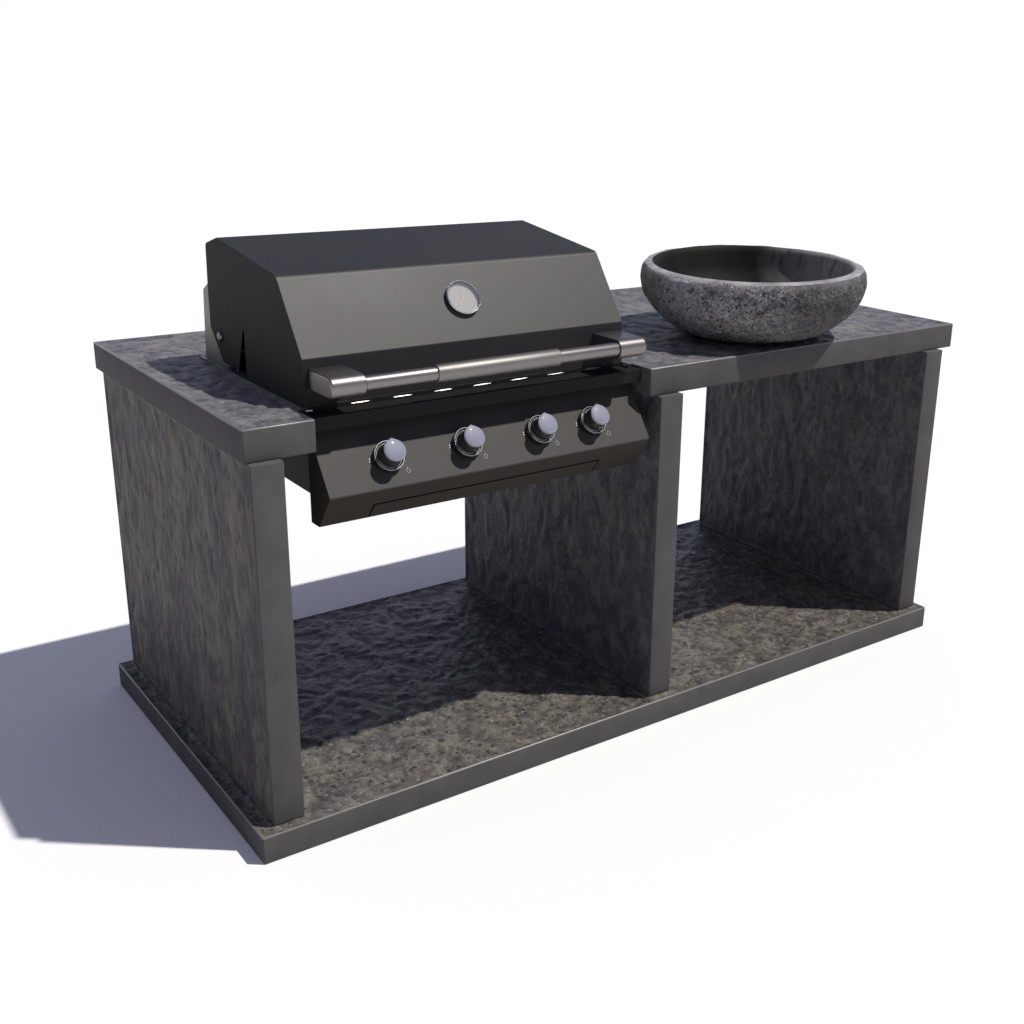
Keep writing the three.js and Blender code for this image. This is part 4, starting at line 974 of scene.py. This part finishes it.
# Screw heads on the guard's flange; the profile is in shares of the radius and the height
screwLook = {
    "in": 2 * mm, "back": 212 * mm, "base": 899.5 * mm, "radius": 5 * mm, "height": 5 * mm,
    "profile": ((0, 0), (1, 0), (1, 0.4), (0.6, 0.85), (0, 1)),
}


def addGuardScrews():
    look = screwLook
    low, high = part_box("lid")
    for side, x in (("left", low.x + look["in"]), ("right", high.x - look["in"])):
        head = turned([(look["radius"] * r, look["height"] * h) for r, h in look["profile"]], 32)
        head.transform(Matrix.Translation((x, look["back"], look["base"])))
        addPiece("guard_screw_" + side, head, ["trimRing"], "island")


addGuardScrews()
print("guard's screws made")


# Inside of the grill and the basin's fittings
for side in ("left", "right"):
    dress("tray_rail_" + side, "steel", 0.2 * mm)
    dress("grate_" + side, "iron", 1.2 * mm)
dress("warming_rack", "polished", 0.5 * mm)
dress("gas_pipe", "steel", 0)
dress("basin_waste", "chrome", 0.2 * mm, 0, 70)
dress("waste_seal", "rubber", 0.3 * mm, 0, 70)
dress("waste_backnut", "chrome", 0.5 * mm)
dress("thermometer_nut", "steel", 0.4 * mm)
for count in range(1, 5):
    dress(f"valve_{count}", "brass", 0)
    dress(f"valve_plug_{count}", "brass", 0)
    dress(f"burner_{count}", "burntSteel", 0)
    dress(f"flame_tamer_{count}", "burntSteel", 0.3 * mm)
print("castings and fittings dressed")


# Bright pressed lips in the ledge's vents, blunt at the left and drawn out to the right
lipLook = {
    "count": 7, "pitch": 96.3 * mm, "offset": 14.5 * mm, "shortest": 54 * mm, "longest": 88 * mm,
    "height": 0.95 * mm, "thick": 0.4 * mm, "belowTop": 5.1 * mm, "fromBack": 1.6 * mm, "lean": 46,
    "blunt": 0.75,
}


def addVentLips():
    look = lipLook
    low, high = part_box("front_ledge")
    middle = (low.x + high.x) / 2 + look["offset"]
    for count in range(look["count"]):
        length = look["shortest"] + (look["longest"] - look["shortest"]) * count / (look["count"] - 1)
        bm = bmesh.new()
        bmesh.ops.create_circle(bm, cap_ends=True, segments=48, radius=0.5)
        bmesh.ops.scale(bm, vec=(length, look["height"], 1), verts=bm.verts)
        for vert in bm.verts:
            vert.co.y *= look["blunt"] - vert.co.x / length
        grown = bmesh.ops.extrude_face_region(bm, geom=bm.faces[:])
        lifted = [item for item in grown["geom"] if isinstance(item, bmesh.types.BMVert)]
        bmesh.ops.translate(bm, vec=(0, 0, look["thick"]), verts=lifted)
        bmesh.ops.recalc_face_normals(bm, faces=bm.faces)
        x = middle + (count - (look["count"] - 1) / 2) * look["pitch"]
        place = Matrix.Translation((x, high.y - look["fromBack"], high.z - look["belowTop"]))
        bm.transform(place @ Matrix.Rotation(math.radians(look["lean"]), 4, "X"))
        addPiece(f"vent_lip_{count + 1}", bm, ["brightLip"], "island", (), 40)


addVentLips()
print("vent lips made")


# Handle
handleLook = {
    "barRadius": 15 * mm, "sleeveRadius": 18.5 * mm, "sleeveHalf": 151 * mm, "sleeveRound": 2.2 * mm,
    "above": 3 * mm, "below": 5 * mm, "intoLid": 2.5 * mm, "endRound": 4.5 * mm, "innerRound": 0.8 * mm,
    "noseFlat": 0.3 * mm, "seamIn": 1 * mm, "seamOut": 1.4 * mm, "seamHalf": 0.6 * mm, "seamAway": 0.9 * mm,
}


def rod(radius, start, end, sides=64, ease=0.8 * mm):
    bm = turned([(0, start), (radius, start), (radius, end), (0, end)], sides)
    roundEdges(bm, ease, 3, 60)
    return bm


def atEnd(x):
    return lambda edge: onPlane(edge.verts, 0, [x])


def addHandle():
    look = handleLook
    barLow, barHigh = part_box("handle_bar")
    axis = (barLow + barHigh) / 2
    quarter = Matrix.Rotation(math.pi / 2, 4, "Y")
    alongX = Matrix.Translation(axis) @ quarter
    half = (barHigh.x - barLow.x) / 2
    bar = rod(look["barRadius"], -half, half)
    bar.transform(alongX)
    addPiece("handle_bar_polished", bar, ["polished"], "lid", ["handle_bar"])
    sleeve = rod(look["sleeveRadius"], -look["sleeveHalf"], look["sleeveHalf"], 64, look["sleeveRound"])
    sleeve.transform(alongX)
    addPiece("handle_sleeve_satin", sleeve, ["satin"], "lid", ["handle_sleeve"])
    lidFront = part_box("lid")[0].y
    for side in ("left", "right"):
        node = "handle_bracket_" + side
        low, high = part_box(node)
        inner, outer = (high.x, low.x) if side == "left" else (low.x, high.x)
        bottom, top = low.z - look["below"], high.z + look["above"]
        bm = block((low.x, low.y, bottom), (high.x, lidFront + look["intoLid"], top))
        nose = lambda edge: alongAxis(edge, 0) and max(vert.co.y for vert in edge.verts) < low.y + mm
        roundEdges(bm, (top - bottom) / 2 - look["noseFlat"], 14, 60, 181, nose)
        roundEdges(bm, look["endRound"], 5, 60, 181, atEnd(outer))
        roundEdges(bm, look["innerRound"], 3, 60, 181, atEnd(inner))
        addPiece(node + "_polished", bm, ["polished"], "lid", [node], 40, True)
        seamLow, seamHigh = look["barRadius"] - look["seamIn"], look["barRadius"] + look["seamOut"]
        seam = turned([
            (seamLow, -look["seamHalf"]), (seamHigh, -look["seamHalf"]),
            (seamHigh, look["seamHalf"]), (seamLow, look["seamHalf"]),
        ])
        away = look["seamAway"] if side == "left" else -look["seamAway"]
        seam.transform(Matrix.Translation((inner + away, axis.y, axis.z)) @ quarter)
        addPiece("handle_seam_" + side, seam, ["gloss"], "lid")


addHandle()
print("handle made")


# Hinge rivets with domed heads
rivetLook = {"radius": 12 * mm, "height": 6 * mm, "edge": 1.2 * mm, "shank": 5 * mm, "domeSteps": 8}


def addRivet(side):
    node = "hinge_rivet_" + side
    low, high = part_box(node)
    look = rivetLook
    reach = high.x - low.x
    profile = [(0, look["height"])]
    for step in range(1, look["domeSteps"] + 1):
        angle = math.pi / 2 * step / look["domeSteps"]
        height = look["edge"] + (look["height"] - look["edge"]) * math.cos(angle)
        profile.append((look["radius"] * math.sin(angle), height))
    profile += [(look["radius"], 0), (look["shank"], 0), (look["shank"], look["height"] - reach)]
    profile += [(0, look["height"] - reach)]
    bm = turned(profile, 48)
    facing = -1 if side == "left" else 1
    outer = low.x if side == "left" else high.x
    bm.transform(
        Matrix.Translation((outer - facing * look["height"], (low.y + high.y) / 2, (low.z + high.z) / 2))
        @ Matrix.Rotation(facing * math.pi / 2, 4, "Y")
    )
    addPiece(node + "_domed", bm, ["rivetSteel"], "island", [node], 40)


addRivet("left")
addRivet("right")
print("rivets made")


# Thermometer on the lid's slope; heights are above the lid's skin
dialLook = {
    "radius": 40 * mm, "proud": 11 * mm, "rim": 2.6 * mm, "deep": 1.6 * mm, "floor": 0.9 * mm,
    "cardRadius": 31 * mm, "lift": 0.3 * mm, "caseRound": 0.5 * mm, "ticks": 28, "firstTick": 210,
    "longTick": 3.2 * mm, "shortTick": 0.55, "everyLong": 4, "tickWidth": 0.4 * mm, "tickHeight": 0.12 * mm,
    "sweep": 300, "needle": 22 * mm, "needleTail": 7 * mm, "needleHalf": 1.4 * mm, "needleTip": 0.35,
    "rest": 212, "lensDrop": 4.4 * mm, "lensEdge": 1.2 * mm, "lensRise": 2.2 * mm,
}


def addThermometer():
    look = dialLook
    place = placeOn("needle_turn")
    radius, proud, deep = look["radius"], look["proud"], look["deep"]
    mouth = radius - look["rim"]
    case = turned([
        (0, look["lift"]), (radius - mm, look["lift"]), (radius, 2 * mm), (radius, proud - 1.5 * mm),
        (radius - 1.2 * mm, proud), (mouth + 0.6 * mm, proud), (mouth, proud - 0.8 * mm),
        (mouth, look["floor"]), (0, look["floor"]),
    ], 96)
    roundEdges(case, look["caseRound"], 3, 30)
    case.transform(place)
    addPiece("thermometer_case_turned", case, ["chrome"], "lid", ["thermometer_case"], 40)
    cardEdge = mouth - 0.2 * mm
    card = turned([
        (0, look["floor"]), (cardEdge, look["floor"]), (cardEdge, deep + 0.6 * mm),
        (look["cardRadius"] + 2.2 * mm, deep), (look["cardRadius"], deep), (0, deep),
    ], 96)
    for face in card.faces:
        face.material_index = 1 if face.calc_center_median().xy.length > look["cardRadius"] else 0
    card.transform(place)
    looks = ["card", "cardBand"]
    addPiece("thermometer_dial_card", card, looks, "lid", ["thermometer_dial"], 40)
    ticks = []
    outer, half = look["cardRadius"] - mm, look["tickWidth"] / 2
    for count in range(look["ticks"] + 1):
        turn = math.radians(look["firstTick"] - look["sweep"] * count / look["ticks"])
        long = look["longTick"] * (1.0 if count % look["everyLong"] == 0 else look["shortTick"])
        tick = block((outer - long, -half, deep), (outer, half, deep + look["tickHeight"]))
        tick.transform(Matrix.Rotation(turn, 4, "Z"))
        ticks.append(tick)
    marks = merged(ticks)
    marks.transform(place)
    addPiece("thermometer_ticks", marks, ["ink"], "lid")
    needleHalf = look["needleHalf"]
    needle = block(
        (-needleHalf, -look["needleTail"], deep + 0.9 * mm), (needleHalf, look["needle"], deep + 1.5 * mm),
    )
    for vert in needle.verts:
        if vert.co.y > 0:
            vert.co.x *= look["needleTip"]
    hub = turned([
        (0, deep + 0.4 * mm), (1.8 * mm, deep + 0.4 * mm), (1.8 * mm, deep + 1.8 * mm),
        (1.2 * mm, deep + 2.1 * mm), (0, deep + 2.2 * mm),
    ], 32)
    needle = merged([needle, hub])
    needle.transform(place @ Matrix.Rotation(-math.radians(look["rest"]), 4, "Z"))
    addPiece("thermometer_pointer", needle, ["pointer"], "needle", ["thermometer_needle"], 40)
    lensLow, lensEdge = proud - look["lensDrop"], mouth - 0.15 * mm
    lens = turned([
        (0, lensLow), (lensEdge, lensLow), (lensEdge, lensLow + look["lensEdge"]),
        (mouth * 0.6, lensLow + 1.9 * mm), (0, lensLow + look["lensRise"]),
    ], 96)
    lens.transform(place)
    addPiece("thermometer_glass", lens, ["glass"], "lid", ["thermometer_lens"], 50)


addThermometer()
print("thermometer made")


# Gas knobs, their bezels and the marks round them
knobLook = {
    "bezelRadius": 33 * mm, "bezelHeight": 14 * mm, "bezelHole": 5.5 * mm, "lift": 0.3 * mm,
    "bore": 28.6 * mm, "boreFloor": 1.6 * mm, "bezelRound": 0.5 * mm, "ringTube": 0.6 * mm,
    "baseTube": 0.5 * mm, "baseRadius": 27.4 * mm, "baseLow": 5.2 * mm, "baseHigh": 12 * mm,
    "waist": 24.4 * mm, "top": 40 * mm, "gripRound": 0.7 * mm, "stemRadius": 4 * mm, "stemEnd": -40 * mm,
    "stemRound": 0.3 * mm, "capRadius": 23.5 * mm, "capEdge": 3 * mm, "capDome": 4.5 * mm, "capSteps": 16,
    "peak": 3.0 * mm, "peakWidth": 30, "peakFrom": 0.004, "bead": 1.0 * mm, "beadAt": 15.5 * mm,
    "grooveAt": 20.4 * mm, "grooveTube": 0.22 * mm, "edgeTube": 0.45 * mm,
}
ringSides = 10


def ring(radius, tube, height, steps=96):
    profile = []
    for count in range(ringSides):
        angle = 2 * math.pi * count / ringSides
        profile.append((radius + tube * math.cos(angle), height + tube * math.sin(angle)))
    return turned(profile, steps)


def addKnob(count):
    look = knobLook
    place = placeOn(f"knob_turn_{count}")
    body = f"knob_{count}"
    radius, height, hole, bore = (look[key] for key in ("bezelRadius", "bezelHeight", "bezelHole", "bore"))
    bezel = turned([
        (hole, look["lift"]), (radius, look["lift"]), (radius - 0.5 * mm, height - mm),
        (radius - 1.6 * mm, height), (bore, height), (bore, look["boreFloor"]), (hole, look["boreFloor"]),
    ], 96)
    roundEdges(bezel, look["bezelRound"], 3, 35)
    bezel.transform(place)
    addPiece(f"bezel_{count}_gloss", bezel, ["gloss"], "island", [f"bezel_{count}"], 40)
    frontRing = ring(radius - 1.5 * mm, look["ringTube"], height - 0.2 * mm)
    frontRing.transform(place)
    addPiece(f"bezel_ring_{count}", frontRing, ["trimRing"], "island")
    base, waist, low, high = (look[key] for key in ("baseRadius", "waist", "baseLow", "baseHigh"))
    grip = turned([
        (0, low), (base, low), (base, high), (waist + 0.6 * mm, high + 2 * mm), (waist, high + 5 * mm),
        (waist - 1.0 * mm, look["top"]), (0, look["top"]),
    ], 96)
    roundEdges(grip, look["gripRound"], 3, 35)
    stem = rod(look["stemRadius"], look["stemEnd"], low + mm, 24, look["stemRound"])
    whole = merged([grip, stem])
    whole.transform(place)
    addPiece(f"knob_{count}_grip", whole, ["grip"], body, [f"knob_{count}"], 40)
    baseRing = ring(base - 0.5 * mm, look["baseTube"], high)
    baseRing.transform(place)
    addPiece(f"knob_ring_{count}", baseRing, ["trimRing"], body)
    addCap(count, place, body)


def pullPeak(part):
    # draws the cap's rim out to a blunt point at the top, where the knob points
    look = knobLook
    for vert in part.verts:
        flat = vert.co.xy
        if flat.length > look["peakFrom"]:
            off = math.degrees(abs(math.atan2(flat.x, flat.y)))
            share = max(0, 1 - off / look["peakWidth"]) ** 2
            vert.co.y += look["peak"] * share * (flat.length / look["capRadius"]) ** 4


def addCap(count, place, body):
    look = knobLook
    radius, steps = look["capRadius"], look["capSteps"]
    low = look["top"] + 0.3 * mm
    edge = low + look["capEdge"]
    profile = [(0, low), (radius - 0.6 * mm, low), (radius, low + 0.8 * mm)]
    for step in range(steps + 1):
        angle = math.pi / 2 * step / steps
        out = radius * math.cos(angle) if step < steps else 0
        profile.append((out, edge + look["capDome"] * math.sin(angle)))
    cap = turned(profile, 96)
    domeAt = lambda out: edge + look["capDome"] * math.sqrt(max(0, 1 - (out / radius) ** 2))
    lines = [
        ring(look["grooveAt"], look["grooveTube"], domeAt(look["grooveAt"])),
        ring(radius - 0.3 * mm, look["edgeTube"], edge),
    ]
    for part in (cap, *lines):
        pullPeak(part)
    cap.transform(place)
    addPiece(f"knob_cap_{count}_domed", cap, ["silver"], body, [f"knob_cap_{count}"], 50)
    bead = ring(look["bead"] * 0.5, look["bead"] * 0.5, 0, 24)
    bead.transform(Matrix.Translation((0, look["beadAt"], domeAt(look["beadAt"]) + 0.2 * mm)))
    trim = merged([bead, *lines])
    trim.transform(place)
    addPiece(f"knob_cap_trim_{count}", trim, ["capTrim"], body, (), 50)


for knobCount in range(1, 5):
    addKnob(knobCount)
print("knobs made")


# Marks printed on the panel: two dots at the off place and a small ring at the low place
markLook = {
    "dotRadius": 1.35 * mm, "dotRound": 0.03 * mm, "dotAt": ((-38.5, 3.4), (-39.2, -1.8)),
    "ringAt": (37, -34), "ringRadius": 4.4 * mm, "line": 0.5 * mm, "tick": 3 * mm,
    "low": 0.02 * mm, "high": 0.14 * mm,
}


def addMarks(count):
    look = markLook
    line, low, high = look["line"], look["low"], look["high"]
    place = placeOn(f"knob_turn_{count}")
    dots = []
    for x, y in look["dotAt"]:
        dot = rod(look["dotRadius"], low, high, 20, look["dotRound"])
        dot.transform(Matrix.Translation((x * mm, y * mm, 0)))
        dots.append(dot)
    whole = merged(dots)
    whole.transform(place)
    addPiece(f"off_dots_{count}", whole, ["whiteInk"], "island")
    inner, outer = look["ringRadius"] - line, look["ringRadius"] + line
    sign = turned([(inner, low), (outer, low), (outer, high), (inner, high)], 40)
    tick = block((-line, outer, low), (line, outer + look["tick"], high))
    sign = merged([sign, tick])
    sign.transform(place @ Matrix.Translation((look["ringAt"][0] * mm, look["ringAt"][1] * mm, 0)))
    addPiece(f"low_ring_{count}", sign, ["greyInk"], "island")


for knobCount in range(1, 5):
    addMarks(knobCount)
print("marks made")


# Floor, sun and sky
lightSetup = {
    "toSun": (0.399, -0.322, 0.8585), "sunStrength": 3.1, "sunAngle": 1.1, "sunColour": (1.0, 0.965, 0.915),
    "skyFill": (0.203, 0.212, 0.297), "floorSize": 14, "floorFill": (0.60, 0.595, 0.60),
    "backdrop": (
        (0, (1, 1, 1)), (0.11, (1, 1, 1)), (0.19, (0.42, 0.48, 0.66)), (0.30, (0.16, 0.19, 0.33)),
        (0.60, (0.13, 0.16, 0.28)), (1, (0.11, 0.13, 0.25)),
    ),
}


def seenStraight(start):
    # 1 for what the camera sees, and what metal and glass show
    path = start.tree.nodes.new("ShaderNodeLightPath")
    rays = ("Is Camera Ray", "Is Glossy Ray", "Is Transmission Ray")
    seen = [Wire(start.tree, path.outputs[ray]) for ray in rays]
    return (seen[0] + seen[1] + seen[2]).above(0, 1)


def addFloor():
    bm = bmesh.new()
    bmesh.ops.create_grid(bm, x_segments=1, y_segments=1, size=lightSetup["floorSize"])
    mesh = bpy.data.meshes.new("floor")
    bm.to_mesh(mesh)
    bm.free()
    material, shader, place = startFinish("paleFloor", Roughness=1.0, Specular_IOR_Level=0.0)
    seenStraight(place).tinted(lightSetup["floorFill"], (1, 1, 1)).into(shader, "Base Color")
    mesh.materials.append(material)
    floor = bpy.data.objects.new("floor", mesh)
    bpy.context.scene.collection.objects.link(floor)


def addSun():
    data = bpy.data.lights.new("sun", "SUN")
    data.energy = lightSetup["sunStrength"]
    data.angle = math.radians(lightSetup["sunAngle"])
    data.color = lightSetup["sunColour"]
    sun = bpy.data.objects.new("sun", data)
    sun.rotation_euler = Vector(lightSetup["toSun"]).to_track_quat("Z", "Y").to_euler()
    bpy.context.scene.collection.objects.link(sun)


def addSky():
    world = bpy.data.worlds.new("studio")
    world.use_nodes = True
    tree = world.node_tree
    shader = next(node for node in tree.nodes if node.type == "BACKGROUND")
    coordinates = tree.nodes.new("ShaderNodeTexCoord")
    way = Wire(tree, coordinates.outputs["Generated"])
    height = way.along(2)
    backdrop = height.make("ShaderNodeValToRGB", {"stops": lightSetup["backdrop"]}, {0: height})
    seenStraight(way).tinted(lightSetup["skyFill"], backdrop).into(shader, "Color")
    bpy.context.scene.world = world


addFloor()
addSun()
addSky()
bpy.context.scene.view_settings.view_transform = "Standard"
print("stage lit")
